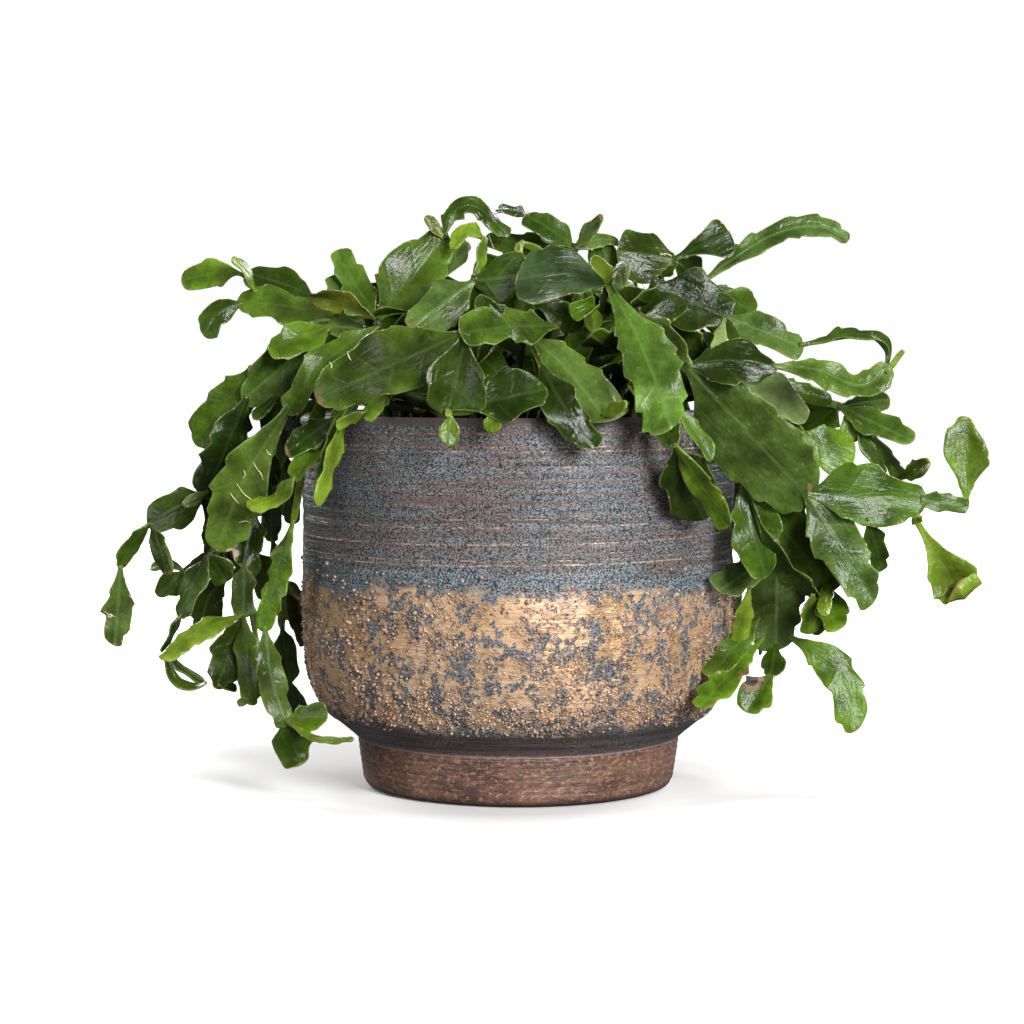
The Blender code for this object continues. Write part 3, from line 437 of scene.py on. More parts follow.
def width_share(kind, s):
    """Width of a pad at a share s of its length, as a share of its full width."""
    start, full, fall, base, end = KINDS[kind]
    if s < fall:
        return base + (1 - base) * smooth((s - start) / (full - start))
    over = (s - fall) / (1 - fall)
    return end + (1 - end) * math.sqrt(max(0.0, 1 - over * over))


def through(points, count):
    """Points evenly spaced along a smooth curve through the given ones."""
    points = [2 * points[0] - points[1], *points, 2 * points[-1] - points[-2]]
    fine = []
    for before, start, end, after in zip(points, points[1:], points[2:], points[3:]):
        for step in np.linspace(0, 1, 24, endpoint=False):
            fine.append(0.5 * (
                2 * start + (end - before) * step
                + (2 * before - 5 * start + 4 * end - after) * step ** 2
                + (3 * start - before - 3 * end + after) * step ** 3
            ))
    fine = np.array([*fine, points[-2]])
    lengths = np.concatenate([[0], np.cumsum(np.linalg.norm(np.diff(fine, axis=0), axis=1))])
    at = np.linspace(0, lengths[-1], count)
    return np.stack([np.interp(at, lengths, fine[:, axis]) for axis in range(3)], axis=1)


def tangents(centres):
    along = np.gradient(centres, axis=0)
    return along / np.linalg.norm(along, axis=1)[:, None]


def face_directions(along, facing, roll):
    """The face's normal at each point of a midrib, rolled about it and carried without twist."""
    middle = len(along) // 2
    tangent = along[middle]
    normal = facing - tangent * (facing @ tangent)
    if np.linalg.norm(normal) < 0.3:
        upward = np.array((0.0, 0.0, 1.0))
        normal = normal + upward - tangent * (upward @ tangent)
    normal = unit(normal)
    across = np.cross(tangent, normal)
    lift = across[2] if abs(tangent[2]) < 0.8 else across[0]
    turn = math.radians(roll)
    normal = normal * math.cos(turn) + across * math.copysign(math.sin(turn), lift * turn)
    normals = [None] * len(along)
    normals[middle] = unit(normal)
    for index in [*range(middle + 1, len(along)), *range(middle - 1, -1, -1)]:
        near = normals[index - 1] if index > middle else normals[index + 1]
        normals[index] = unit(near - along[index] * (near @ along[index]))
    return np.array(normals)


def lay_pad(spec, base, shift):
    """The midrib of a pad, its faces' directions and its half widths, with its tip moved by `shift`."""
    point, facing = spec["place"]
    tip = point + facing * shift
    stops = [place[0] + place[1] * shift * (index + 1) / (len(spec["via"]) + 1)
             for index, place in enumerate(spec["via"])]
    if stops:
        centres = through([base, *stops, tip], FINE_STATIONS)
    else:
        chord = unit(tip - base)
        level = unit(np.cross(chord, facing))
        middle = (base + tip) / 2 + level * spec["bow"] + np.cross(level, chord) * spec["arch"]
        centres = through([base, middle, tip], FINE_STATIONS)
    along = tangents(centres)
    normals = face_directions(along, facing, spec["roll"])
    shares = [width_share(spec["kind"], s) for s in np.linspace(0, 1, FINE_STATIONS)]
    halves = np.maximum(LEAST_HALF_WIDTH, np.array(shares) * spec["width"] / 2)
    return {"centres": centres, "along": along, "normals": normals, "halves": halves, "spec": spec}


def margin_directions(laid):
    return np.cross(laid["along"], laid["normals"])


def cloud(laid):
    """Points spread over a pad, closely enough to tell how near another one is."""
    length = np.linalg.norm(np.diff(laid["centres"], axis=0), axis=1).sum()
    rows = max(4, int(length / 3))
    columns = 2 * max(1, int(laid["halves"].max() / 4)) + 1
    at = np.linspace(0, FINE_STATIONS - 1, rows)
    stations = np.arange(FINE_STATIONS)
    centres = np.stack([np.interp(at, stations, laid["centres"][:, axis]) for axis in range(3)], axis=1)
    margins = margin_directions(laid) * laid["halves"][:, None]
    margins = np.stack([np.interp(at, stations, margins[:, axis]) for axis in range(3)], axis=1)
    spread = np.linspace(-1, 1, columns)
    return (centres[:, None, :] + margins[:, None, :] * spread[None, :, None]).reshape(-1, 3)


def nearest(points, others):
    """Least distance between a set of points and some other sets."""
    low, high = points.min(axis=0) - 12, points.max(axis=0) + 12
    least = 12.0
    for other in others:
        if (other.max(axis=0) < low).any() or (other.min(axis=0) > high).any():
            continue
        gaps = np.linalg.norm(points[:, None, :] - other[None, :, :], axis=2)
        least = min(least, gaps.min())
    return least


OUTSIDE = FOOT_OUTSIDE + BELLY_OUTSIDE + WALL_OUTSIDE
PLANTER_HEIGHT = LIP_INSIDE[0][1]
LIP_CENTRE = LIP_INSIDE[0][0]


def room_beside_pot(points):
    """How far clear of the planter, the soil and the floor the nearest of some points is."""
    radii = np.hypot(points[:, 0], points[:, 1])
    heights = points[:, 2]
    outer = np.interp(heights, [z for _, z in OUTSIDE], [r for r, _ in OUTSIDE])
    beside = radii - outer
    lip = np.hypot(radii - LIP_CENTRE, heights - PLANTER_HEIGHT)
    room = np.where(heights > PLANTER_HEIGHT, lip, np.where(radii > LIP_CENTRE, beside, -beside))
    inside = (radii < LIP_CENTRE) & (heights < PLANTER_HEIGHT + 5)
    over_soil = np.minimum(heights - SOIL_CROWN, INNER_TOP_RADIUS - 4 - radii)
    room = np.where(inside, over_soil, room)
    return min(room.min(), heights.min() - FLOOR_CLEARANCE + POT_CLEARANCE)


def lay_stem(root, top, sway, swing):
    """Midrib of a stem: upright out of the soil, then over to the first pads."""
    foot = np.array((root[0], root[1], SOIL_TOP - ROOT_DEPTH))
    collar = foot + np.array((0.0, 0.0, ROOT_DEPTH + 5.0))
    level = np.array((math.cos(swing), math.sin(swing), 0.0)) * sway
    bend = (collar + top) / 2 + np.array((0.0, 0.0, 5.0)) + level
    return np.vstack([foot, through([collar, bend, top], 4)])


def settle_stems(branches):
    """Lay each stem, swaying it aside where it would touch one that is laid already."""
    stems = {}
    for name, root, (top, _), _ in branches:
        best = None
        for sway in STEM_SWAYS:
            for eighth in range(8 if sway else 1):
                stem = lay_stem(root, top, sway, eighth * math.pi / 4)
                fine = through(list(stem), 24)
                room = nearest(fine, [other for _, other in stems.values()])
                rim = room_beside_pot(fine[fine[:, 2] > SOIL_CROWN + 6])
                score = min(room, rim + STEM_CLEARANCE - POT_CLEARANCE)
                if best is None or score > best[0] + 0.01:
                    best = (score, stem, fine)
            if best[0] >= STEM_CLEARANCE:
                break
        stems[name] = best[1:]
    return stems


def base_of(spec, laid, stem):
    """Where a pad starts: inside the top of the stem or of its parent, or on the parent's margin."""
    if spec["parent"] is None:
        return stem[-1] + unit(stem[-2] - stem[-1]) * STEM_INSET
    parent = laid[spec["parent"]]
    at = min(spec["at"], JOINT_INSET) * (FINE_STATIONS - 1)
    rings = list(ring_stations(parent["spec"]))
    margins = margin_directions(parent) * parent["halves"][:, None] * MARGIN_INSET * spec["side"]
    places = (parent["centres"] + margins)[rings]
    return np.array([np.interp(at, rings, places[:, axis]) for axis in range(3)])


def settle_pads(branches, stems):
    """Lay the pads in turn, each moved to or fro along its sight line until it clears the rest."""
    laid = {}
    placed = []
    for name, _, _, pads in branches:
        own = {}
        trunks = [fine for other, (_, fine) in stems.items() if other != name]
        for spec in pads:
            base = base_of(spec, own, stems[name][0])
            sisters = [cloud(one)[len(cloud(one)) // 3:] for key, one in own.items() if key != spec["parent"]]
            others = [points for other, points in placed if other != name] + trunks
            best = None
            for shift in SHIFTS:
                trial = lay_pad(spec, base, shift)
                points = cloud(trial)
                room = min(
                    nearest(points, others),
                    nearest(points[len(points) // 3:], sisters) + CLEARANCE - OWN_CLEARANCE,
                    room_beside_pot(points) + CLEARANCE - POT_CLEARANCE,
                )
                if best is None or room > best[0] + 0.01:
                    best = (room, trial, shift)
                if room >= CLEARANCE:
                    break
            own[spec["label"]] = best[1]
            best[1]["room"], best[1]["shift"] = best[0], best[2]
        placed += [(name, cloud(one)) for one in own.values()]
        laid[name] = own
    return laid


def ring_stations(spec):
    if spec["via"]:
        return (0, 3, 6, 9, 12)
    if spec["width"] < 12:
        return (0, 6, 12)
    if spec["width"] < 24:
        return (0, 4, 9, 12)
    return (0, 3, 6, 10, 12)


# One letter for each pad of a branch, in the order in which its pads are laid
LOOKS = {
    "left_front_branch": "ms", "left_crown_branch": "dmdogo", "left_long_branch": "pmdbyd",
    "left_drape_branch": "gckbbddgdok", "left_outer_tail": "kdkdkddkgm", "left_middle_tail": "kdkgydkmok",
    "left_inner_tail": "yybgbyd", "left_rim_branch": "mbykgy", "left_rim_sprig": "byb",
    "left_behind_branch": "kkdgpdkd", "front_left_branch": "mmdkbyy", "front_centre_branch": "cmkyg",
    "centre_fold_branch": "mgyyyy", "front_right_branch": "tsypmby", "right_over_branch": "ddkbm",
    "top_pair_branch": "dmgdd", "heart_branch": "dmdm", "top_right_branch": "ddkkg",
    "right_dark_branch": "kgpd", "right_middle_branch": "gksycmgbyycd",
    # Pad b of right_bright_branch takes the "w" look, a painted highlight
    "right_bright_branch": "bwobgsgdbybdy",
    "right_low_branch": "dmmbymk", "right_tail": "kkgdbbbgy",
}

# Colours of the pads, their waxiness and their dust; the whitish "w" colour is a painted highlight
TONES = {
    "k": ((0.040, 0.085, 0.006), 0.2, 0.0),
    "d": ((0.070, 0.140, 0.009), 0.5, 0.05),
    "t": ((0.070, 0.130, 0.040), 0.3, 0.15),
    "m": ((0.105, 0.205, 0.014), 0.5, 0.1),
    "g": ((0.130, 0.225, 0.036), 0.3, 0.55),
    "c": ((0.140, 0.255, 0.034), 0.6, 0.3),
    "s": ((0.150, 0.280, 0.028), 1.0, 0.3),
    "b": ((0.180, 0.340, 0.016), 0.7, 0.05),
    # w: whitish green, a painted highlight put into the pad's colour
    "w": ((0.400, 0.560, 0.210), 0.8, 0.1),
    "y": ((0.270, 0.430, 0.028), 0.5, 0.0),
    "p": ((0.260, 0.360, 0.110), 0.2, 0.2),
    "o": ((0.220, 0.250, 0.025), 0.3, 0.2),
}
HIDDEN_LOOKS = "mbdmbg"
# Near-black looks of the pads inside the plant: painted shade for its dark middle
INNER_SHADE_LOOKS = "kdkmd"
INNER_SHARES = (0.46, 0.58, 0.7, 0.82, 0.94)
INNER_TRIES = 10
INNER_CLEARANCE = 1.2
TONE_LEVEL = 0.36

ROW_SPACING = 1.35
INNER_ROW_SPACING = 2.6
CAP_ROWS = 6
ACROSS = (0.0, 0.1, 0.26, 0.5, 0.74, 0.9, 0.98, 1.0)
BLADE_HALF = 0.52
STEM_ROWS = 26
STEM_AROUND = 12


def spline(values, at):
    """Values at fractional stations, on smooth curves through the whole ones."""
    values = np.vstack([2 * values[0] - values[1], values, 2 * values[-1] - values[-2]])
    index = np.minimum(at.astype(int), len(values) - 4)
    step = (at - index)[:, None]
    before, start, end, after = (values[index + k] for k in range(4))
    return 0.5 * (
        2 * start + (end - before) * step
        + (2 * before - 5 * start + 4 * end - after) * step ** 2
        + (3 * start - before - 3 * end + after) * step ** 3
    )


def units(vectors):
    return vectors / np.linalg.norm(vectors, axis=1)[:, None]


def smooth_steps(values):
    values = np.clip(values, 0, 1)
    return values * values * (3 - 2 * values)


def scallop(position):
    """Outline of the lobes along a margin: it widens slowly from each notch and steps back at the next."""
    share = np.mod(position, 1.0)
    return np.where(share < 0.84, (share / 0.84) ** 1.25, ((1 - share) / 0.16) ** 0.8)


def curl_tip(centres, along, normals, s, start, angle):
    """Turn the midrib towards the pad's face from a share `start` of its length, by `angle` in all."""
    steps = np.linalg.norm(np.diff(centres, axis=0), axis=1)
    turn = (angle * smooth_steps((s - start) / (1 - start)))[:, None]
    turned = along * np.cos(turn) + normals * np.sin(turn)
    normals = normals * np.cos(turn) - along * np.sin(turn)
    moved = np.vstack([centres[:1], centres[0] + np.cumsum(turned[1:] * steps[:, None], axis=0)])
    keep = smooth_steps((s - start + 0.05) / 0.05)[:, None]
    first = int(np.argmax(s >= start))
    moved = moved + centres[first] - moved[first]
    return centres * (1 - keep) + moved * keep, turned, normals


def pad_skin(laid, seed, rolled=0.0, curl=0.0, narrowed=1.0):
    """Points, quads, triangles and skin of one pad in millimetres."""
    rng = np.random.default_rng(seed)
    spec = laid["spec"]
    length = np.linalg.norm(np.diff(laid["centres"], axis=0), axis=1).sum()
    end_half = laid["halves"][-1]
    cap = min(0.4, max(0.04, end_half * 0.75 / length))
    spacing = INNER_ROW_SPACING if spec["label"].startswith("inner") else ROW_SPACING
    rows = max(6, int(length * (1 - cap) / spacing))
    turn = np.linspace(0, math.pi / 2, CAP_ROWS + 1)[1:]
    s = np.concatenate([np.linspace(0, 1 - cap, rows), 1 - cap + cap * np.sin(turn)])
    rounding = np.concatenate([np.ones(rows), np.cos(turn) ** 0.8])
    rounding[-1] = 0.02
    at = s * (FINE_STATIONS - 1)
    centres = spline(laid["centres"], at)
    along = units(spline(laid["along"], at))
    normals = spline(laid["normals"], at)
    normals = units(normals - along * (normals * along).sum(axis=1)[:, None])
    if curl:
        centres, along, normals = curl_tip(centres, along, normals, s, 0.7, curl)
    margins = np.cross(along, normals)
    halves = np.array([width_share(spec["kind"], value) for value in s]) * spec["width"] / 2
    halves = np.maximum(0.85, halves * narrowed)
    swell = halves / halves.max()
    wide = min(1.0, spec["width"] / 16)
    pitch = rng.uniform(10.5, 14.5) * (0.5 + 0.5 * wide)
    lobes = s * length / pitch
    depth = rng.uniform(2.2, 3.9) * wide * np.clip(swell * 1.5 - 0.3, 0, 1)
    phases = rng.uniform(0, 1) + np.array((0.0, 0.5))
    outline = {}
    narrow = 1 - rng.uniform(0.0, 0.42) * wide * smooth_steps((s - 0.5) / 0.5)
    for side, phase in zip((-1, 1), phases):
        fuller = 1 + wide * (rng.uniform(-0.12, 0.1) + 0.13 * np.sin(5.5 * s + rng.uniform(0, 6)))
        along_lobes = lobes + phase + 0.22 * np.sin(2.1 * lobes + rng.uniform(0, 6))
        share = rng.uniform(0.3, 1.0, 40)[along_lobes.astype(int)]
        outline[side] = (halves * fuller * narrow + depth * share * (scallop(along_lobes) - 0.55)) * rounding
    fold = rng.uniform(-0.15, 0.42)
    wave = rng.uniform(0.7, 2.3) * wide
    skew = rng.uniform(-0.45, 0.45) * wide
    ripple = rng.uniform(0, 2 * math.pi, 4)
    shares = np.array([-value for value in ACROSS[:0:-1]] + list(ACROSS))
    t = shares[None, :]
    half = np.where(t < 0, outline[-1][:, None], outline[1][:, None])
    v = t * half
    mid = fold * np.abs(v) - fold * 0.35 * halves[:, None]
    for side in (-1, 1):
        on = (t * side > 0).astype(float)
        mid = mid + on * wave * t ** 2 * np.sin(
            2 * math.pi * lobes[:, None] * 0.5 + ripple[0 if side < 0 else 1]) * swell[:, None]
    mid = mid * np.minimum(1, s / 0.12)[:, None] * (0.35 + 0.65 * rounding[:, None])
    taper = np.where(t == 0, 1.0, 1 - np.abs(t) ** 7) ** 0.5
    lobe_at = lobes[:, None] + np.where(t < 0, phases[0], phases[1])
    quilt = 0.17 * wide * (scallop(lobe_at - 0.035 * np.abs(v)) - 0.5) * np.abs(t) * (1 - t ** 4)
    rib = 0.55 * np.exp(-(v / 0.9) ** 2) * (1 - 0.72 * s[:, None]) * np.minimum(1, halves[:, None] / 3)
    neck = 0.5 * np.exp(-s[:, None] / 0.05)
    upper = (BLADE_HALF + neck) * taper + rib * 0.75 + quilt
    lower = (BLADE_HALF + neck) * taper + rib + quilt * 0.4
    upper = np.where(np.abs(t) == 1, 0.0, np.maximum(upper, 0.05)) * np.maximum(rounding, 0.25)[:, None]
    lower = np.where(np.abs(t) == 1, 0.0, np.maximum(lower, 0.05)) * np.maximum(rounding, 0.25)[:, None]
    slant = skew * v * smooth_steps((s - 0.55) / 0.4)[:, None] * (1 - bool(rolled))
    flat = centres[:, None, :] + along[:, None, :] * slant[:, :, None]
    arc = max(rolled, 1e-4) / halves.max()
    turn = (v * arc)[:, :, None]
    flat = flat + (margins[:, None, :] * np.sin(turn) + normals[:, None, :] * (1 - np.cos(turn))) / arc
    outward = normals[:, None, :] * np.cos(turn) - margins[:, None, :] * np.sin(turn)
    top = flat + outward * (mid + upper)[:, :, None]
    bottom = flat + outward * (mid - lower)[:, :, None]
    columns = len(shares)
    ring = np.concatenate([top, bottom[:, -2:0:-1, :]], axis=1)
    sides = ring.shape[1]
    rim = half - np.abs(v)
    length_left = ((1 - s) * length)[:, None]
    rim = np.minimum(rim, length_left + 0 * rim)
    veins = np.stack([lobe_at + 0 * v, v, rim], axis=2)
    veins = np.concatenate([veins, veins[:, -2:0:-1, :]], axis=1)
    share_along = np.repeat(s[:, None], sides, axis=1)
    points = ring.reshape(-1, 3)
    count = len(s)
    first = (np.arange(count - 1) * sides)[:, None]
    around_ring = np.arange(sides)[None, :]
    following = (np.arange(sides)[None, :] + 1) % sides
    quads = np.stack([first + around_ring, first + following, first + sides + following,
                      first + sides + around_ring], axis=2).reshape(-1, 4)
    start = len(points)
    points = np.vstack([points, centres[0], centres[-1] + along[-1] * 0.05])
    ring_index = np.arange(sides)
    next_index = (ring_index + 1) % sides
    last = (count - 1) * sides
    tris = np.concatenate([
        np.stack([np.full(sides, start), next_index, ring_index], axis=1),
        np.stack([np.full(sides, start + 1), last + ring_index, last + next_index], axis=1),
    ])
    skin = np.vstack([veins.reshape(-1, 3), (0, 0, 1), (0, 0, 0)])
    s_all = np.concatenate([share_along.reshape(-1), [0.0, 1.0]])
    return points, quads, tris, skin, s_all, length


def stem_skin(stem):
    centres = through(list(stem[1:]), STEM_ROWS)
    centres = np.vstack([stem[0] + (0, 0, 0.3), centres])
    along = tangents(centres)
    along[0] = along[1] = np.array((0.0, 0.0, 1.0))
    across = np.array((1.0, 0.0, 0.0))
    points = []
    for row, (centre, tangent) in enumerate(zip(centres, along)):
        across = unit(across - tangent * (across @ tangent))
        other = np.cross(tangent, across)
        share = row / (len(centres) - 1)
        for side in range(STEM_AROUND):
            turn = 2 * math.pi * side / STEM_AROUND
            ridge = 1 + 0.12 * math.cos(4 * turn + row * 0.2)
            flat = 1 - 0.35 * share * math.sin(turn) ** 2
            radius = STEM_RADIUS * (1 - 0.2 * share) * ridge * flat
            points.append(centre + (across * math.cos(turn) + other * math.sin(turn)) * radius)
    sides, count = STEM_AROUND, len(centres)
    first = (np.arange(count - 1) * sides)[:, None]
    now = np.arange(sides)[None, :]
    following = (now + 1) % sides
    quads = np.stack([first + now, first + following, first + sides + following, first + sides + now],
                     axis=2).reshape(-1, 4)
    points = np.array(points)
    start = len(points)
    points = np.vstack([points, centres[0], centres[-1]])
    index = np.arange(sides)
    after = (index + 1) % sides
    last = (count - 1) * sides
    tris = np.concatenate([
        np.stack([np.full(sides, start), after, index], axis=1),
        np.stack([np.full(sides, start + 1), last + index, last + after], axis=1),
    ])
    return points, quads, tris


def capped(points, count, sides, start_point, end_point):
    """A closed tube from `count` rings of `sides` points each and a point at either end."""
    first = (np.arange(count - 1) * sides)[:, None]
    now = np.arange(sides)[None, :]
    following = (now + 1) % sides
    quads = np.stack([first + now, first + following, first + sides + following, first + sides + now],
                     axis=2).reshape(-1, 4)
    start = len(points)
    index = np.arange(sides)
    after = (index + 1) % sides
    last = (count - 1) * sides
    tris = np.concatenate([
        np.stack([np.full(sides, start), after, index], axis=1),
        np.stack([np.full(sides, start + 1), last + index, last + after], axis=1),
    ])
    return np.vstack([points, start_point, end_point]), quads, tris


def mesh_object(name, points, quads, tris, finish, smooth_faces=True, attributes=()):
    """A piece from arrays in millimetres."""
    mesh = bpy.data.meshes.new(name)
    faces = [tuple(face) for face in quads.tolist()] + [tuple(face) for face in tris.tolist()]
    mesh.from_pydata((points * MM).tolist(), [], faces)
    if smooth_faces:
        mesh.shade_smooth()
    for key, kind, values in attributes:
        layer = mesh.attributes.new(key, kind, "POINT")
        field = "color" if kind == "FLOAT_COLOR" else "vector" if kind == "FLOAT_VECTOR" else "value"
        layer.data.foreach_set(field, np.ascontiguousarray(values, np.float32).ravel())
    mesh.materials.append(finish)
    made = bpy.data.objects.new(name, mesh)
    bpy.context.scene.collection.objects.link(made)
    return made


def joined(parts):
    """Stack several sets of points, quads and triangles."""
    points, quads, tris, offset = [], [], [], 0
    for part in parts:
        points.append(part[0])
        quads.append(part[1] + offset)
        tris.append(part[2] + offset)
        offset += len(part[0])
    return np.vstack(points), np.vstack(quads), np.vstack(tris)


def extra_pads():
    """Small pads that fill the gaps between the others, by branch, with a look for each. The near-black looks of
    those in the middle of the plant are painted shade.
    """
    return {
        "left_crown_branch": [("g", pad("g", "a", seen(-21, 226, 32), 14, roll=10)),
                              ("m", pad("h", "a", seen(-76, 222, 30), 13, roll=20))],
        "centre_fold_branch": [("d", pad("g", None, seen(-10, 190, 44), 17, roll=-10)),
                               ("d", pad("h", None, seen(12, 196, 46), 15, roll=15))],
        "heart_branch": [("d", pad("e", None, seen(36, 178, 30), 16, roll=10)),
                         ("k", pad("f", None, seen(-4, 168, 30), 17, roll=-10)),
                         ("k", pad("g", None, seen(18, 164, 26), 18, roll=10)),
                         ("d", pad("h", "a", seen(34, 226, 22), 12, roll=15)),
                         ("k", pad("i", None, seen(40, 176, 44), 22, roll=10)),
                         ("d", pad("j", None, seen(54, 204, 40), 17, roll=10))],
        "top_right_branch": [("k", pad("f", None, seen(58, 192, 8), 20, roll=10)),
                             ("d", pad("g", "d", seen(92, 186, 4), 18, roll=10))],
        "right_dark_branch": [("d", pad("e", "a", seen(70, 180, 30), 16, at=0.6, side=1, roll=10)),
                              ("m", pad("f", "a", seen(98, 196, 30), 13, at=0.8, side=-1, roll=20)),
                              ("k", pad("g", None, seen(47, 160, 36), 20, roll=-10)),
                              ("k", pad("h", None, seen(73, 162, 36), 20, roll=10))],
        "right_low_branch": [("b", pad("h", "g", seen(122, 62, 50), 10, roll=20))],
        "left_outer_tail": [("m", pad("k", "c", seen(-122, 84, 12), 12, roll=-15))],
        "left_middle_tail": [("d", pad("k", "b", seen(-124, 88, 0), 12, roll=15))],
        "right_tail": [("m", pad("j", "c", seen(80, 44, 52), 12, at=0.7, side=1, roll=15))],
    }


# Pads rolled up across their width, and pads with a curled tip, by angle in radians
ROLLED = {("front_right_branch", "f"): 2.3, ("front_left_branch", "c"): 0.5,
          ("right_bright_branch", "c"): 0.8,
          ("left_rim_branch", "b"): 0.6, ("top_right_branch", "c"): 0.5}
NARROWED = {("left_crown_branch", "c"): 0.76, ("left_long_branch", "a"): 0.85,
            ("left_front_branch", "a"): 0.88,
            ("right_dark_branch", "a"): 0.9, ("left_behind_branch", "a"): 0.85}
CURLS = {("right_middle_branch", "j"): 3.3, ("left_inner_tail", "g"): 1.0, ("right_tail", "i"): 0.7,
         ("left_outer_tail", "f"): 0.6}

# Blemishes where the photograph shows them: (x, z) in its plane in mm, radius, how brown, how pale
SPOTS = (
    (-119.5, 95.5, 3.0, 0.0, 1.1), (-83, 160, 2.0, 0.7, 0.2), (-19, 172.5, 0.7, 0.0, 1.1),
    (-20, 151.5, 2.0, 0.6, 0.4), (85.5, 234, 1.5, 0.2, 1.0), (88.5, 231, 2.0, 0.2, 1.1),
    (91.5, 228, 1.8, 0.4, 0.8),
    (63, 194, 0.8, 0.0, 1.1), (75, 189, 0.8, 0.0, 1.1), (122, 123.5, 1.2, 1.1, 0.0), 
    (98, 43, 4.0, 1.9, 0.0), (-170, 57, 2.2, 0.6, 0.4), (187, 155, 2.4, 0.9, 0.0),
    (162.5, 138, 1.8, 1.1, 0.2),
    (84, 46, 2.0, 0.0, 0.5), (60, 221, 1.2, 0.0, 1.0), (45, 168, 2.0, 0.5, 0.2), (-171, 70, 0.9, 0.0, 1.2),
)


INSIDE_MARGIN = 2.0


def kept_inside(points):
    """Points in mm, eased back where they would come out of the CAD model's box."""
    low, high = (np.array(corner) / MM for corner in CAD_BOX)
    over = np.maximum(0, points - (high - INSIDE_MARGIN))
    points = points - over + INSIDE_MARGIN * (1 - np.exp(-over / INSIDE_MARGIN))
    under = np.maximum(0, (low + INSIDE_MARGIN) * (1, 1, 0) - points) * (1, 1, 0)
    return points + under - INSIDE_MARGIN * (1 - np.exp(-under / INSIDE_MARGIN))


def in_photo_plane(points):
    """Where points in mm are seen in the plane of the photograph, through the pot's axis."""
    reach = EYE[1] / (EYE[1] - points[:, 1])
    return EYE[0] + (points[:, 0] - EYE[0]) * reach, EYE[2] + (points[:, 2] - EYE[2]) * reach


def blemishes(points):
    """How brown and how pale each point of a pad is made by the spots."""
    x, z = in_photo_plane(points)
    brown, pale = np.zeros(len(points)), np.zeros(len(points))
    for spot_x, spot_z, radius, browned, bleached in SPOTS:
        near = np.exp(-((x - spot_x) ** 2 + (z - spot_z) ** 2) / radius ** 2)
        brown = np.maximum(brown, browned * near)
        pale = np.maximum(pale, bleached * near)
    return brown, pale


def inner_pads(stems, laid):
    """Pads that grow out of the stems inside the plant, clear of all the others, by branch."""
    rng = np.random.default_rng(77)
    taken = [cloud(one) for own in laid.values() for one in own.values()]
    made = {}
    for name, (_, fine) in stems.items():
        made[name] = []
        for share in INNER_SHARES:
            base = fine[int(share * (len(fine) - 1))]
            if base[2] < PLANTER_HEIGHT + 1:
                continue
            best = None
            for _ in range(INNER_TRIES):
                turn = rng.uniform(0, 2 * math.pi)
                ahead = unit((math.cos(turn), math.sin(turn), rng.uniform(-0.1, 1.0)))
                tip = base + ahead * rng.uniform(20, 36)
                if math.hypot(tip[0], tip[1]) > 84 or not 160 < tip[2] < 205:
                    continue
                facing = unit(rng.normal(size=3) + (0, -0.8, 0))
                spec = pad(f"inner_{share}", None, (tip, facing), rng.uniform(12, 20), arch=rng.uniform(-3, 3))
                one = lay_pad(spec, base, 0)
                points = cloud(one)
                room = min(nearest(points[len(points) // 4:], taken), room_beside_pot(points))
                if best is None or room > best[0]:
                    best = (room, one, points)
            if best and best[0] > INNER_CLEARANCE:
                made[name].append(best[1])
                taken.append(best[2])
    return made


def make_pads(branches, stems, laid, finish):
    extras = extra_pads()
    inner = inner_pads(stems, laid)
    shapes = []
    for number, (name, _, _, _) in enumerate(branches):
        looks = LOOKS.get(name)
        for letter, spec in extras.get(name, []):
            looks += letter
            base = base_of(spec, laid[name], stems[name][0])
            laid[name][spec["label"]] = lay_pad(spec, base, 0)
        for one in inner[name]:
            laid[name][one["spec"]["label"]] = one
        parts = [stem_skin(stems[name][0])]
        rows = len(parts[0][0])
        # The stems are near-black olive: partly their own colour, partly painted shade for the plant's dark middle
        tone = [np.tile((0.030, 0.036, 0.012, 1.0), (rows, 1))]
        skin = [np.tile((0.25, 3.0, 3.0), (rows, 1))]
        wear = [np.tile((0.0, 0.3, 0.0), (rows, 1))]
        for index, (label, one) in enumerate(laid[name].items()):
            if label.startswith("inner"):
                letter = INNER_SHADE_LOOKS[index % len(INNER_SHADE_LOOKS)]
            else:
                letter = looks[index] if looks else HIDDEN_LOOKS[(index + number) % len(HIDDEN_LOOKS)]
            colour, wax, dust = TONES[letter]
            seed = 100 * number + index
            rng = np.random.default_rng(seed + 7)
            points, quads, tris, veins, s, length = pad_skin(
                one, seed, ROLLED.get((name, label), 0.0), CURLS.get((name, label), 0.0),
                NARROWED.get((name, label), 1.0))
            points = kept_inside(points)
            parts.append((points, quads, tris))
            shade = TONE_LEVEL * np.array(colour) * rng.uniform(0.9, 1.1) * (1 + 0.1 * (rng.random(3) - 0.5))
            fresh = (0.9 + 0.25 * s)[:, None]
            tone.append(np.hstack([shade[None, :] * fresh, np.ones((len(s), 1))]))
            skin.append(veins)
            brown = rng.uniform(0.0, 1.0) ** 8 * np.clip(1 - (1 - s) * length / 2.6, 0, 1)
            brown = brown * (not label.startswith("inner"))
            pale = np.zeros(len(s))
            if looks:
                spot_brown, pale = blemishes(points)
                brown = np.maximum(brown, spot_brown)
            wear.append(np.stack([brown, np.full(len(s), dust), pale], axis=1))
        points, quads, tris = joined(parts)
        if looks:
            shapes.append((points, quads, tris))
        piece = mesh_object(name + "_pads", points, quads, tris, finish, attributes=(
            ("tone", "FLOAT_COLOR", np.vstack(tone)), ("skin", "FLOAT_VECTOR", np.vstack(skin)),
            ("wear", "FLOAT_VECTOR", np.vstack(wear)),
        ))
        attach(piece, "root")
        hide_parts(name)
    return joined(shapes)


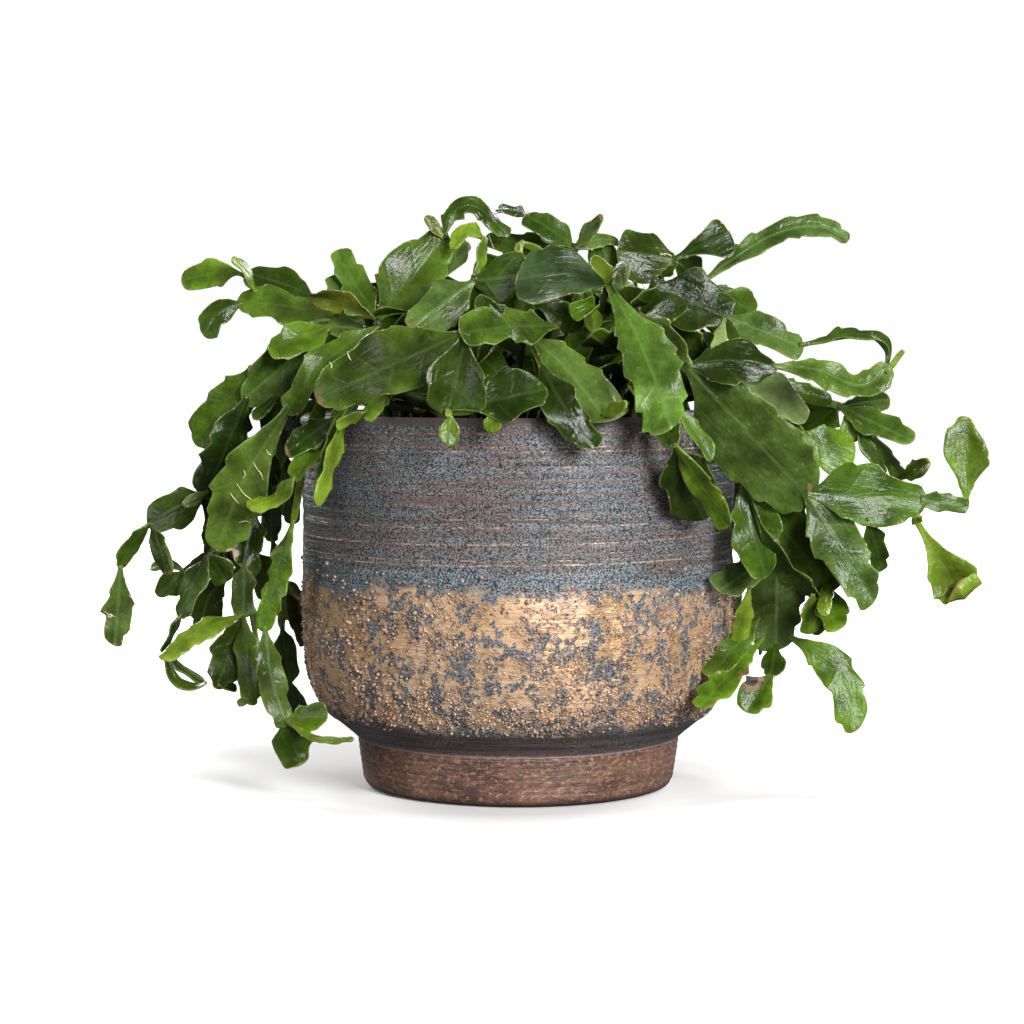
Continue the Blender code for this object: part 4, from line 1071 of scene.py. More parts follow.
# Aerial roots and threads as the photograph shows them, by (x, z) in its plane in mm
ROOTS = (
    ((-105, 139.5), (-104.3, 138), (-103, 137.2)),
    ((-110.5, 134), (-109, 131.5), (-107.4, 129.5), (-106.5, 126.8)),
    ((-114.6, 131), (-114, 129), (-115.2, 127.2)),
    ((-117.5, 125.4), (-115, 121.5), (-112, 119), (-107, 115.6)),
    ((-120.4, 121.5), (-119, 119.5), (-116.6, 116.8)), ((-117, 109), (-114, 109.6), (-112, 109)),
    ((-71, 180.5), (-70.6, 178.5), (-69.5, 176.6)), ((-78.5, 176), (-77.6, 174.4), (-77.9, 173.4)),
    ((-12, 228.5), (-11.3, 226), (-10, 223)), ((3.6, 240), (4, 238.4), (5, 237.4)),
    ((35, 233), (37.5, 234.2), (40, 234.4)), ((39.5, 161.5), (40.3, 160), (40, 158.6)),
    ((59, 220.4), (61.5, 220.9), (64, 219.8)), ((-173.8, 71.8), (-171, 70.2), (-168.6, 69.4)),
    ((-163.8, 84), (-162.4, 82.4), (-161.6, 81.6)), ((-163, 78.4), (-161.8, 77.2), (-161.2, 76.4)),
)
ROOT_SIDES = 6
ROOT_POINTS = 12


def make_roots(shape, finish):
    """Thin roots laid on the pads that are seen behind them."""
    points, quads, tris = shape
    tree = BVHTree.FromPolygons(points.tolist(), quads.tolist() + tris.tolist())
    parts = []
    for number, line in enumerate(ROOTS):
        line = through([np.array((x, 0.0, z)) for x, z in line], ROOT_POINTS)
        hits = [tree.ray_cast(Vector(EYE), Vector(place - EYE)) for place in line]
        depths = [hit[0][1] for hit in hits if hit[0] is not None]
        if not depths:
            continue
        level = float(np.median(depths))
        centres = []
        for place, hit in zip(line, hits):
            depth = hit[0][1] if hit[0] is not None and abs(hit[0][1] - level) < 4 else level
            centres.append(EYE + (place - EYE) * ((depth - 0.3 - EYE[1]) / -EYE[1]))
        centres = np.array(centres)
        along = tangents(centres)
        across = units(np.cross(along, (0.0, 1.0, 0.0)))
        share = np.linspace(0, 1, ROOT_POINTS)
        radius = (0.05 + 0.2 * np.sin(math.pi * np.clip(share * 0.9 + 0.05, 0, 1)) ** 0.5)[:, None]
        ring = [centres + radius * (across * math.cos(turn) + np.cross(along, across) * math.sin(turn))
                for turn in np.arange(ROOT_SIDES) * 2 * math.pi / ROOT_SIDES]
        skin_points = np.stack(ring, axis=1).reshape(-1, 3)
        parts.append(capped(skin_points, ROOT_POINTS, ROOT_SIDES, centres[0], centres[-1]))
    points, quads, tris = joined(parts)
    points = kept_inside(points)
    piece = mesh_object("aerial_roots", points, quads, tris, finish)
    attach(piece, "root")


# Planter

def wobble(rng, count, lowest, highest, rise):
    """A smooth pattern round the planter from waves that close on themselves: (turns, per mm, phase, share)."""
    return [(int(rng.integers(lowest, highest + 1)), rng.normal() * rise, rng.uniform(0, 2 * math.pi),
             1 / math.sqrt(count)) for _ in range(count)]


def pattern(waves, turn, height):
    return sum(share * np.cos(turns * turn + rise * height + phase) for turns, rise, phase, share in waves)


GRIT_WAVES = wobble(np.random.default_rng(11), 26, 4, 30, 0.17)
ROUND_WAVES = wobble(np.random.default_rng(5), 7, 2, 9, 0.05)
GRIT_LOW, GRIT_HIGH = 30.0, 92.0


def grit_density(turn, height):
    """Where beads of grit lie on the glaze, from none at 0 to crowded at 1."""
    band = np.clip((height - GRIT_LOW) / 6, 0, 1) * np.clip((GRIT_HIGH - height) / 14, 0, 1)
    patches = np.clip(0.42 + 0.75 * pattern(GRIT_WAVES, turn, height), 0, 1)
    foot = np.exp(-((height - 38) / 5.5) ** 2)
    return band * np.clip(patches * 0.85 + foot * 0.9, 0, 1)


def planter_rows():
    """The planter's outline as (radius, height), dense enough to carry its throwing lines."""
    def curve(points, count):
        return through([np.array((radius, 0.0, height)) for radius, height in points], count)[:, [0, 2]]
    under = np.array([(12.0, 1.2), (40.0, 1.2), (54.0, 1.2), (56.5, 0.9)])
    outside = [curve(FOOT_OUTSIDE, 26), curve(BELLY_OUTSIDE + WALL_OUTSIDE + LIP_INSIDE, 176)]
    inside = curve(WALL_INSIDE, 44)
    return np.vstack([under, *outside, inside[:-1], (40.0, 8.0), (12.0, 8.0)])


GROOVES = [(float(height), depth, width) for height, depth, width in zip(
    np.linspace(90, 149, 21) + np.random.default_rng(3).uniform(-1.2, 1.2, 21),
    np.random.default_rng(4).uniform(0.08, 0.3, 21), np.random.default_rng(6).uniform(0.7, 1.3, 21))]
PLANTER_AROUND = 300


def make_planter_piece(finish):
    rows = planter_rows()
    turn = np.arange(PLANTER_AROUND) * 2 * math.pi / PLANTER_AROUND
    radius = rows[:, 0][:, None] + 0 * turn[None, :]
    height = rows[:, 1][:, None] + 0 * turn[None, :]
    outer = np.zeros(len(rows))
    outer[4:4 + 26 + 160] = 1
    lift = 0.3 * pattern(ROUND_WAVES, turn[None, :], height)
    for place, depth, width in GROOVES:
        lift = lift - depth * np.exp(-((height - place - 0.5 * np.sin(turn[None, :])) / width) ** 2)
    lift = lift + 0.3 * grit_density(turn[None, :], height)
    foot = (height < 21) * 0.14 * np.sin(height * 2.1 + 0.4 * np.sin(turn[None, :]))
    radius = radius + (lift + foot) * outer[:, None]
    points = np.stack([radius * np.cos(turn), radius * np.sin(turn), height], axis=2).reshape(-1, 3)
    count, sides = len(rows), PLANTER_AROUND
    first = (np.arange(count - 1) * sides)[:, None]
    now = np.arange(sides)[None, :]
    following = (now + 1) % sides
    quads = np.stack([first + now, first + following, first + sides + following, first + sides + now],
                     axis=2).reshape(-1, 4)
    start = len(points)
    points = np.vstack([points, (0, 0, rows[0, 1]), (0, 0, rows[-1, 1])])
    index = np.arange(sides)
    after = (index + 1) % sides
    last = (count - 1) * sides
    tris = np.concatenate([
        np.stack([np.full(sides, start), after, index], axis=1),
        np.stack([np.full(sides, start + 1), last + index, last + after], axis=1),
    ])
    piece = mesh_object("glazed_planter", points, quads, tris, finish)
    piece.data.set_sharp_from_angle(angle=math.radians(50))
    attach(piece, "root")
    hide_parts("planter_pot")
    return rows


def make_grit(rows, finish):
    rng = np.random.default_rng(21)
    heights = rows[4:4 + 26 + 160, 1]
    radii = rows[4:4 + 26 + 160, 0]
    order = np.argsort(heights)
    slope = np.gradient(radii[order], heights[order] + np.arange(len(order)) * 1e-6)
    parts = []
    unit_ring = np.array([(math.cos(k * 0.4 * math.pi), math.sin(k * 0.4 * math.pi)) for k in range(5)])
    taken = 0
    while taken < 7400:
        turn = rng.uniform(0, 2 * math.pi)
        height = rng.uniform(GRIT_LOW, GRIT_HIGH + 4)
        crowd = grit_density(turn, height)
        if rng.random() > crowd ** 1.2 + 0.05:
            continue
        taken += 1
        radius = np.interp(height, heights[order], radii[order]) + 0.3 * crowd
        lean = np.interp(height, heights[order], slope)
        out = np.array((math.cos(turn), math.sin(turn), 0.0))
        side = np.array((-math.sin(turn), math.cos(turn), 0.0))
        normal = unit(out - np.array((0, 0, lean)))
        up = np.cross(normal, side)
        size = 0.38 + 0.5 * rng.random() ** 1.4 + 0.2 * (rng.random() < 0.08)
        centre = out * radius + np.array((0, 0, height))
        spin = rng.uniform(0, math.pi)
        rotated = unit_ring @ np.array(((math.cos(spin), -math.sin(spin)), (math.sin(spin), math.cos(spin))))
        rotated = rotated * rng.uniform(0.8, 1.2, (5, 1))
        low = centre - normal * 0.25 + size * (rotated[:, :1] * side + rotated[:, 1:] * up)
        high = centre + normal * size * 0.62 + 0.72 * size * (rotated[:, :1] * side + rotated[:, 1:] * up)
        top = centre + normal * size * 1.0
        bottom = centre - normal * 0.3
        points = np.vstack([low, high, top, bottom])
        now = np.arange(5)
        after = (now + 1) % 5
        quads = np.stack([now, after, 5 + after, 5 + now], axis=1)
        tris = np.concatenate([np.stack([5 + now, 5 + after, np.full(5, 10)], axis=1),
                               np.stack([after, now, np.full(5, 11)], axis=1)])
        parts.append((points, quads, tris))
    points, quads, tris = joined(parts)
    piece = mesh_object("planter_grit", points, quads, tris, finish)
    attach(piece, "root")


# Inner pot and soil

def turned_piece(name, rows, sides, finish, shift=None):
    turn = np.arange(sides) * 2 * math.pi / sides
    radius = rows[:, 0][:, None] + 0 * turn[None, :]
    height = rows[:, 1][:, None] + 0 * turn[None, :]
    if shift is not None:
        height = height + shift(radius, turn[None, :], height)
    points = np.stack([radius * np.cos(turn), radius * np.sin(turn), height], axis=2).reshape(-1, 3)
    count = len(rows)
    first = (np.arange(count - 1) * sides)[:, None]
    now = np.arange(sides)[None, :]
    following = (now + 1) % sides
    quads = np.stack([first + now, first + following, first + sides + following, first + sides + now],
                     axis=2).reshape(-1, 4)
    start = len(points)
    middle = points[-sides:, 2].mean()
    points = np.vstack([points, (0, 0, rows[0, 1]), (0, 0, middle)])
    index = np.arange(sides)
    after = (index + 1) % sides
    last = (count - 1) * sides
    tris = np.concatenate([
        np.stack([np.full(sides, start), after, index], axis=1),
        np.stack([np.full(sides, start + 1), last + index, last + after], axis=1),
    ])
    return mesh_object(name, points, quads, tris, finish)


def inner_radius(height):
    """Inside of the inner pot's wall at a height."""
    rise = (height - INNER_FLOOR) / (INNER_TOP - INNER_FLOOR)
    return INNER_BASE_RADIUS + (INNER_TOP_RADIUS - INNER_BASE_RADIUS) * rise - INNER_WALL


def make_inner_piece(finish):
    band = INNER_TOP - INNER_BAND_HEIGHT
    rows = [(8.0, INNER_FLOOR), (46.0, INNER_FLOOR), (INNER_BASE_RADIUS - 1, INNER_FLOOR + 0.3)]
    rows += [(inner_radius(height) + INNER_WALL, height) for height in np.linspace(INNER_FLOOR + 2, band - 0.6, 24)]
    rows += [
        (INNER_BAND_RADIUS - 0.8, band), (INNER_BAND_RADIUS, band + 0.8),
        (INNER_BAND_RADIUS, INNER_TOP - 2.6),
        (INNER_BAND_RADIUS + 0.25, INNER_TOP - 1.7), (INNER_BAND_RADIUS, INNER_TOP - 0.6),
        (INNER_BAND_RADIUS - 0.9, INNER_TOP), (inner_radius(INNER_TOP) + 0.5, INNER_TOP),
        (inner_radius(INNER_TOP), INNER_TOP - 0.5),
    ]
    rows += [(inner_radius(height), height) for height in np.linspace(INNER_TOP - 2, INNER_BED + 1, 24)]
    rows += [(40.0, INNER_BED), (8.0, INNER_BED)]
    piece = turned_piece("grow_pot", np.array(rows), 128, finish)
    piece.data.set_sharp_from_angle(angle=math.radians(40))
    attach(piece, "root")
    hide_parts("nursery_pot")


def make_soil_piece(finish):
    floor = INNER_BED + FIT
    rng = np.random.default_rng(33)
    rows = [(8.0, floor), (inner_radius(floor) - FIT - 1, floor), (inner_radius(floor) - FIT, floor + 1)]
    rows += [(inner_radius(height) - FIT, height) for height in np.linspace(floor + 6, SOIL_TOP - 2, 14)]
    edge = inner_radius(SOIL_TOP) - 4
    rows += [(radius, SOIL_TOP - 0.4 + (SOIL_CROWN - SOIL_TOP) * (1 - radius / edge) ** 0.8)
             for radius in np.linspace(edge, 2.0, 46)]

    def crumbs(radius, turn, height):
        on = (height > SOIL_TOP - 0.5) & (radius < edge - 0.5)
        rough = rng.normal(size=height.shape) * 0.45
        lumps = 0.55 * np.cos(radius * 0.9 + 3 * np.cos(turn * 7)) * np.cos(turn * 19 + radius * 0.35)
        return np.where(on, rough + lumps, 0.0)

    piece = turned_piece("soil_bed", np.array(rows), 144, finish, crumbs)
    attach(piece, "root")
    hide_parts("soil")
    return edge


def icosphere():
    golden = (1 + 5 ** 0.5) / 2
    points = np.array([
        (-1, golden, 0), (1, golden, 0), (-1, -golden, 0), (1, -golden, 0), (0, -1, golden), (0, 1, golden),
        (0, -1, -golden), (0, 1, -golden), (golden, 0, -1), (golden, 0, 1), (-golden, 0, -1), (-golden, 0, 1),
    ], float)
    tris = np.array([
        (0, 11, 5), (0, 5, 1), (0, 1, 7), (0, 7, 10), (0, 10, 11), (1, 5, 9), (5, 11, 4), (11, 10, 2),
        (10, 7, 6), (7, 1, 8), (3, 9, 4), (3, 4, 2), (3, 2, 6), (3, 6, 8), (3, 8, 9), (4, 9, 5), (2, 4, 11),
        (6, 2, 10), (8, 6, 7), (9, 8, 1),
    ])
    return units(points), tris


def make_crumbs(edge, dark, light):
    base, faces = icosphere()
    rng = np.random.default_rng(41)
    for name, count, low, high, finish in (
        ("soil_crumbs", 620, 0.7, 2.3, dark), ("soil_grains", 70, 0.8, 1.7, light)):
        parts = []
        for _ in range(count):
            radius = edge * math.sqrt(rng.random()) * 0.97
            turn = rng.uniform(0, 2 * math.pi)
            level = SOIL_TOP + (SOIL_CROWN - SOIL_TOP) * (1 - radius / edge) ** 0.8
            size = rng.uniform(low, high)
            shape = base * rng.uniform(0.7, 1.25, (len(base), 1)) * rng.uniform(0.7, 1.2, 3) * size
            centre = np.array((radius * math.cos(turn), radius * math.sin(turn), level + size * 0.35))
            parts.append((shape + centre, np.zeros((0, 4), int), faces))
        points, quads, tris = joined(parts)
        piece = mesh_object(name, points, quads, tris, finish, smooth_faces=False)
        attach(piece, "root")


# Materials

class Graph:
    """A node material and short ways to add to it."""

    def __init__(self, name):
        self.made = bpy.data.materials.new(name)
        self.made.use_nodes = True
        self.tree = self.made.node_tree
        self.shader = self.tree.nodes["Principled BSDF"]
        place = self.add("TexCoord")
        self.place = place.outputs["Object"]

    def add(self, kind, inputs=None, **settings):
        node = self.tree.nodes.new("ShaderNode" + kind)
        for key, value in settings.items():
            setattr(node, key, value)
        for key, value in (inputs or {}).items():
            self.put(node.inputs[key], value)
        return node

    def put(self, socket, value):
        if isinstance(value, bpy.types.NodeSocket):
            self.tree.links.new(value, socket)
        else:
            socket.default_value = value

    def math(self, operation, first, second=0.0, third=0.0):
        return self.add("Math", {0: first, 1: second, 2: third}, operation=operation).outputs[0]

    def noise(self, scale, detail=2.0, place=None, rough=0.5):
        node = self.add("TexNoise", {"Vector": place or self.place, "Scale": scale, "Detail": detail,
                                     "Roughness": rough})
        return node.outputs["Fac"]

    def spread(self, value, low, high, to_low=0.0, to_high=1.0, smooth_step=True):
        node = self.add("MapRange", {"Value": value, "From Min": low, "From Max": high,
                                     "To Min": to_low, "To Max": to_high})
        node.interpolation_type = "SMOOTHSTEP" if smooth_step else "LINEAR"
        return node.outputs["Result"]

    def mix(self, factor, first, second, blend="MIX"):
        node = self.add("Mix", data_type="RGBA", blend_type=blend)
        self.put(node.inputs[0], factor)
        for socket, value in ((node.inputs[6], first), (node.inputs[7], second)):
            self.put(socket, value if isinstance(value, bpy.types.NodeSocket) else (*value, 1.0))
        return node.outputs[2]

    def scaled(self, factors):
        return self.add("VectorMath", {0: self.place, 1: factors}, operation="MULTIPLY").outputs[0]

    def split(self, vector):
        return self.add("SeparateXYZ", {0: vector}).outputs

    def bump(self, height, strength, distance, under=None):
        node = self.add("Bump", {"Height": height, "Strength": strength, "Distance": distance})
        if under:
            self.put(node.inputs["Normal"], under)
        return node.outputs["Normal"]

    def finish(self, colour, roughness, normal=None, **fixed):
        self.put(self.shader.inputs["Base Color"], colour)
        self.put(self.shader.inputs["Roughness"], roughness)
        if normal:
            self.put(self.shader.inputs["Normal"], normal)
        for key, value in fixed.items():
            self.shader.inputs[key.replace("_", " ")].default_value = value
        return self.made


def pad_finish():
    g = Graph("waxy_pads")
    tone = g.add("Attribute", attribute_name="tone").outputs["Color"]
    lobe, across, rim = g.split(g.add("Attribute", attribute_name="skin").outputs["Vector"])
    brown, dust, pale = g.split(g.add("Attribute", attribute_name="wear").outputs["Vector"])
    off = g.math("ABSOLUTE", across)
    blotch = g.noise(70, 3)
    cells = g.noise(650, 3, rough=0.7)
    fine = g.noise(2600, 1)
    shade = g.math("MULTIPLY", g.spread(blotch, 0.32, 0.68, 0.55, 1.34),
                   g.spread(cells, 0.3, 0.7, 0.86, 1.14))
    shade = g.math("MULTIPLY", shade, g.spread(rim, 0.3, 5.0, 1.28, 0.94))
    shade = g.math("MULTIPLY", shade, g.spread(g.noise(210, 4, rough=0.65), 0.35, 0.65, 0.85, 1.12))
    colour = g.mix(1.0, tone, g.add("CombineXYZ", {0: shade, 1: shade, 2: shade}).outputs[0], "MULTIPLY")
    lane = g.math("FRACT", g.math("MULTIPLY_ADD", off, -0.055, lobe))
    vein = g.math("SUBTRACT", 1.0, g.spread(g.math("ABSOLUTE", g.math("SUBTRACT", lane, 0.5)), 0.0, 0.11))
    vein = g.math("MULTIPLY", vein, g.spread(off, 0.5, 2.5))
    vein = g.math("MULTIPLY", vein, g.spread(rim, 0.4, 3.0))
    colour = g.mix(g.math("MULTIPLY", vein, 0.03), colour, (0.20, 0.34, 0.08))
    rib = g.math("SUBTRACT", 1.0, g.spread(off, 0.15, 1.05))
    colour = g.mix(g.math("MULTIPLY", rib, g.spread(dust, 0.0, 0.55, 0.06, 0.2)), colour, (0.20, 0.33, 0.09))
    edge = g.math("SUBTRACT", 1.0, g.spread(rim, 0.1, 0.7))
    edge = g.math("MULTIPLY", edge, g.spread(g.noise(240, 2), 0.3, 0.65, 0.35, 1.0))
    colour = g.mix(g.math("MULTIPLY", edge, 0.5), colour, (0.24, 0.32, 0.07))
    notch = g.math("SUBTRACT", 1.0, g.spread(g.math("PINGPONG", lobe, 0.5), 0.0, 0.05))
    notch = g.math("MULTIPLY", notch, g.math("SUBTRACT", 1.0, g.spread(rim, 0.3, 1.0)))
    colour = g.mix(g.math("MULTIPLY", notch, 0.55), colour, (0.44, 0.36, 0.20))
    worn = g.math("MULTIPLY", brown, g.spread(g.noise(420, 3), 0.25, 0.6, 0.5, 1.5))
    worn = g.spread(worn, 0.25, 0.75)
    colour = g.mix(worn, colour, (0.20, 0.115, 0.045))
    colour = g.mix(g.spread(brown, 0.95, 1.25), colour, (0.022, 0.012, 0.012))
    bleached = g.math("MULTIPLY", pale, g.spread(g.noise(380, 3), 0.3, 0.6, 0.6, 1.4))
    colour = g.mix(g.spread(bleached, 0.35, 0.7), colour, (0.56, 0.48, 0.30))
    haze = g.math("MULTIPLY", dust, g.spread(g.noise(160, 4, rough=0.65), 0.42, 0.72))
    colour = g.mix(g.math("MULTIPLY", haze, 0.1), colour, (0.28, 0.38, 0.18))
    speck = g.add("TexVoronoi", {"Vector": g.place, "Scale": 520.0}).outputs["Distance"]
    speck = g.math("SUBTRACT", 1.0, g.spread(speck, 0.06, 0.15))
    speck = g.math("MULTIPLY", speck, g.spread(g.noise(210, 1), 0.6, 0.68))
    colour = g.mix(g.math("MULTIPLY", speck, g.spread(dust, 0.0, 0.6, 0.15, 0.9)), colour, (0.6, 0.62, 0.5))
    rough = g.math("ADD", g.spread(blotch, 0.3, 0.7, 0.16, 0.3), g.math("MULTIPLY", haze, 0.2))
    rough = g.math("ADD", rough, g.math("MULTIPLY", worn, 0.25))
    height = g.math("MULTIPLY_ADD", cells, 0.4, g.math("MULTIPLY", fine, 0.12))
    height = g.math("MULTIPLY_ADD", vein, 0.25, height)
    lengthwise = g.add("CombineXYZ",
                       {0: g.math("MULTIPLY", lobe, 1.1), 1: g.math("MULTIPLY", across, 0.3), 2: blotch})
    height = g.math("MULTIPLY_ADD", g.noise(1.0, 2, lengthwise.outputs[0], 0.5), 1.7, height)
    height = g.math("MULTIPLY_ADD", g.noise(85, 3), 1.8, height)
    normal = g.bump(height, 0.75, 0.0005)
    return g.finish(colour, rough, normal, Specular_IOR_Level=0.3)


def root_finish():
    g = Graph("dry_root")
    colour = g.mix(g.spread(g.noise(700, 3), 0.35, 0.65), (0.42, 0.33, 0.20), (0.72, 0.62, 0.42))
    return g.finish(colour, g.spread(g.noise(500, 2), 0.3, 0.7, 0.5, 0.7), g.bump(g.noise(2400, 2), 0.5, 0.0001),
                    Specular_IOR_Level=0.3)


# Scratches with gold in them: height, slant, half width, share of noise that breaks them up
SCRATCHES = (
    (99.0, 0.8, 0.32, 0.47), (100.9, 0.9, 0.24, 0.50), (103.3, 1.0, 0.20, 0.54),
    (107.2, 1.1, 0.32, 0.47), (109.6, 1.2, 0.18, 0.55), (113.8, 1.2, 0.26, 0.50),
    (117.0, 1.2, 0.20, 0.53), (121.3, 0.7, 0.20, 0.55),
    (126.5, 0.6, 0.20, 0.56), (133.0, 0.5, 0.22, 0.54), (136.5, 0.5, 0.24, 0.53),
    (142.5, 0.4, 0.26, 0.51), (144.2, 0.4, 0.24, 0.53), (146.6, 0.4, 0.18, 0.55),
    (149.3, 0.3, 0.26, 0.51), (20.9, 0.1, 0.30, 0.46),
)


def glaze_finish(name, bead=False):
    g = Graph(name)
    x, y, z = g.split(g.place)
    level = g.math("MULTIPLY", z, 1000.0)
    turn = g.math("ARCTAN2", y, x)
    lean = g.math("SINE", g.math("ADD", turn, 0.9))
    streaks = g.noise(22, 4, g.scaled((1.0, 1.0, 16.0)), 0.65)
    lines = g.noise(16, 3, g.scaled((1.0, 1.0, 60.0)), 0.6)
    broad = g.noise(34, 3)
    grain = g.noise(1450, 1)
    coarse = g.noise(520, 2)
    level_soft = g.math("ADD", level,
                        g.spread(g.noise(38, 4, g.scaled((1.0, 1.0, 2.2))), 0.25, 0.75, -6.0, 6.0))
    # grey-blue glaze
    blue = g.mix(g.spread(grain, 0.39, 0.61), (0.010, 0.013, 0.016), (0.195, 0.215, 0.23))
    blue = g.mix(g.math("MULTIPLY", g.spread(coarse, 0.5, 0.7), 0.5), blue, (0.07, 0.085, 0.10))
    dull = g.mix(g.spread(grain, 0.36, 0.64), (0.020, 0.014, 0.014), (0.185, 0.153, 0.148))
    colour = g.mix(g.spread(g.math("ADD", g.math("MULTIPLY", streaks, 0.6), g.math("MULTIPLY", broad, 0.4)),
                            0.42, 0.60), blue, dull)
    brown = g.math("MULTIPLY", g.spread(lines, 0.54, 0.68), 0.7)
    colour = g.mix(brown, colour, (0.13, 0.07, 0.06))
    # teal band
    teal = g.mix(g.spread(grain, 0.40, 0.60), (0.012, 0.018, 0.022), (0.215, 0.262, 0.29))
    in_teal = g.math("MULTIPLY", g.spread(level_soft, 99, 94), g.spread(level_soft, 80, 86))
    colour = g.mix(g.math("MULTIPLY", in_teal, 0.85), colour, teal)
    # scratches with gold in them
    scratch = None
    gaps = g.math("MULTIPLY_ADD", g.noise(460, 2, g.scaled((1.0, 1.0, 3.0))), 0.5,
                  g.math("MULTIPLY", g.noise(80, 3, g.scaled((1.0, 1.0, 9.0)), 0.6), 0.5))
    for height, tilt, width, keep in SCRATCHES:
        line = g.math("ABSOLUTE", g.math("SUBTRACT", level, g.math("MULTIPLY_ADD", lean, tilt, height)))
        mask = g.spread(line, width * 1.5, width * 0.45)
        mask = g.math("MULTIPLY", mask, g.spread(gaps, keep - 0.01, keep + 0.05))
        scratch = mask if scratch is None else g.math("MAXIMUM", scratch, mask)
    colour = g.mix(g.math("MULTIPLY", scratch, g.spread(grain, 0.35, 0.6, 0.35, 1.0)),
                   colour, (0.60, 0.43, 0.30))
    # gold band
    patch = g.noise(118, 6, rough=0.72)
    low_band = g.spread(level_soft, 31, 36)
    high_band = g.spread(level_soft, 91, 83)
    band = g.math("MULTIPLY", low_band, high_band)
    worn = g.spread(g.math("ADD", patch, g.math("MULTIPLY", g.noise(380, 3), 0.45)), 0.77, 0.725)
    gilt = g.math("MULTIPLY", band, worn)
    blush = g.mix(g.spread(broad, 0.4, 0.6), (0.64, 0.41, 0.22), (0.70, 0.47, 0.31))
    blush = g.mix(g.spread(streaks, 0.45, 0.7), blush, (0.56, 0.34, 0.18))
    # The gold is painted paler and pinker towards the bottom of the band: a painted highlight of the light on the
    # lower belly
    blush = g.mix(g.spread(level_soft, 64, 38, 0.0, 0.8), blush, (0.86, 0.58, 0.38))
    crust = g.mix(g.spread(grain, 0.34, 0.66), (0.024, 0.028, 0.034), (0.25, 0.255, 0.27))
    crust = g.mix(g.math("MULTIPLY", g.spread(coarse, 0.55, 0.68), 0.5), crust, (0.20, 0.13, 0.09))
    colour = g.mix(g.math("MULTIPLY", band, 0.7), colour, crust)
    colour = g.mix(gilt, colour, blush)
    # foot and cove
    scuffs = g.noise(60, 7, g.scaled((1.0, 1.0, 2.6)), 0.8)
    flecks = g.noise(420, 5, g.scaled((1.0, 1.0, 1.9)), 0.75)
    brown_foot = g.mix(g.spread(scuffs, 0.38, 0.6), (0.056, 0.027, 0.022), (0.175, 0.082, 0.056))
    brown_foot = g.mix(g.math("MULTIPLY", g.spread(lines, 0.56, 0.74), 0.3), brown_foot, (0.46, 0.27, 0.15))
    brown_foot = g.mix(g.math("MULTIPLY", g.spread(flecks, 0.53, 0.62), 0.7), brown_foot, (0.44, 0.27, 0.165))
    brown_foot = g.mix(g.math("MULTIPLY", g.spread(flecks, 0.47, 0.38), 0.8),
                       brown_foot, (0.050, 0.032, 0.028))
    worn_foot = g.math("MULTIPLY", g.spread(broad, 0.44, 0.62), g.spread(level, 19, 14))
    brown_foot = g.mix(g.math("MULTIPLY", worn_foot, 0.12), brown_foot, (0.44, 0.28, 0.16))
    brown_foot = g.mix(g.math("MULTIPLY", g.spread(grain, 0.55, 0.7), 0.35), brown_foot, (0.30, 0.22, 0.18))
    brown_foot = g.mix(g.spread(level, 3.2, 0.8), brown_foot, (0.035, 0.022, 0.018))
    colour = g.mix(g.spread(level, 22.6, 20.8), colour, brown_foot)
    cove = g.math("MULTIPLY", g.spread(level, 20.8, 22.4), g.spread(level_soft, 29, 26))
    colour = g.mix(g.math("MULTIPLY", cove, 0.72), colour,
                   g.mix(g.spread(lines, 0.42, 0.6), (0.040, 0.028, 0.029), (0.13, 0.105, 0.105)))
    pale = g.math("MULTIPLY", g.spread(g.math("ABSOLUTE", g.math("SUBTRACT", level, 20.7)), 0.7, 0.2), 0.55)
    colour = g.mix(pale, colour, (0.36, 0.30, 0.27))
    # lip
    lip = g.spread(level, 151.2, 152.6)
    colour = g.mix(g.math("MULTIPLY", lip, 0.75), colour, (0.10, 0.066, 0.062))
    if bead:
        coppery = g.mix(g.spread(g.noise(260, 2), 0.35, 0.65), (0.26, 0.16, 0.11), (0.64, 0.44, 0.31))
        colour = g.mix(0.8, colour, coppery)
    domes = g.add("TexVoronoi", {"Vector": g.place, "Scale": 760.0}).outputs["Distance"]
    ragged = g.math("ADD", g.noise(150, 4, rough=0.7), g.math("MULTIPLY", g.spread(level_soft, 50, 38), 0.12))
    crowd = g.math("MULTIPLY", g.spread(ragged, 0.47, 0.56),
                   g.math("MULTIPLY", low_band, g.spread(level_soft, 96, 84)))
    dome = g.math("MULTIPLY", g.spread(domes, 0.46, 0.12), crowd)
    if not bead:
        # Painted shade darkens the glaze between the bead domes, and their tops take a lighter copper as a painted
        # highlight
        ring = g.math("MULTIPLY", g.math("MULTIPLY", g.spread(domes, 0.36, 0.5), crowd), 0.4)
        colour = g.mix(ring, colour, (0.040, 0.034, 0.034))
        colour = g.mix(g.math("MULTIPLY", g.spread(dome, 0.45, 0.9), 0.6), colour, (0.50, 0.33, 0.22))
    metal = g.math("MULTIPLY", g.math("MAXIMUM", gilt, scratch), 0.5)
    rough = g.spread(coarse, 0.3, 0.7, 0.26, 0.42) if bead else g.spread(coarse, 0.3, 0.7, 0.38, 0.56)
    relief = g.math("MULTIPLY_ADD", g.noise(22, 4, g.scaled((1.0, 1.0, 34.0)), 0.7), 1.3,
                    g.math("MULTIPLY", coarse, 0.55))
    relief = g.math("SUBTRACT", relief, g.math("MULTIPLY", scratch, 0.5))
    relief = g.math("SUBTRACT", relief, g.math("MULTIPLY", gilt, 0.35))
    normal = g.bump(relief, 0.55, 0.0007)
    normal = g.bump(grain, 0.35, 0.00025, normal)
    if not bead:
        normal = g.bump(dome, 0.8, 0.0006, normal)
    g.put(g.shader.inputs["Metallic"], metal)
    return g.finish(colour, rough, normal, Specular_IOR_Level=0.5)


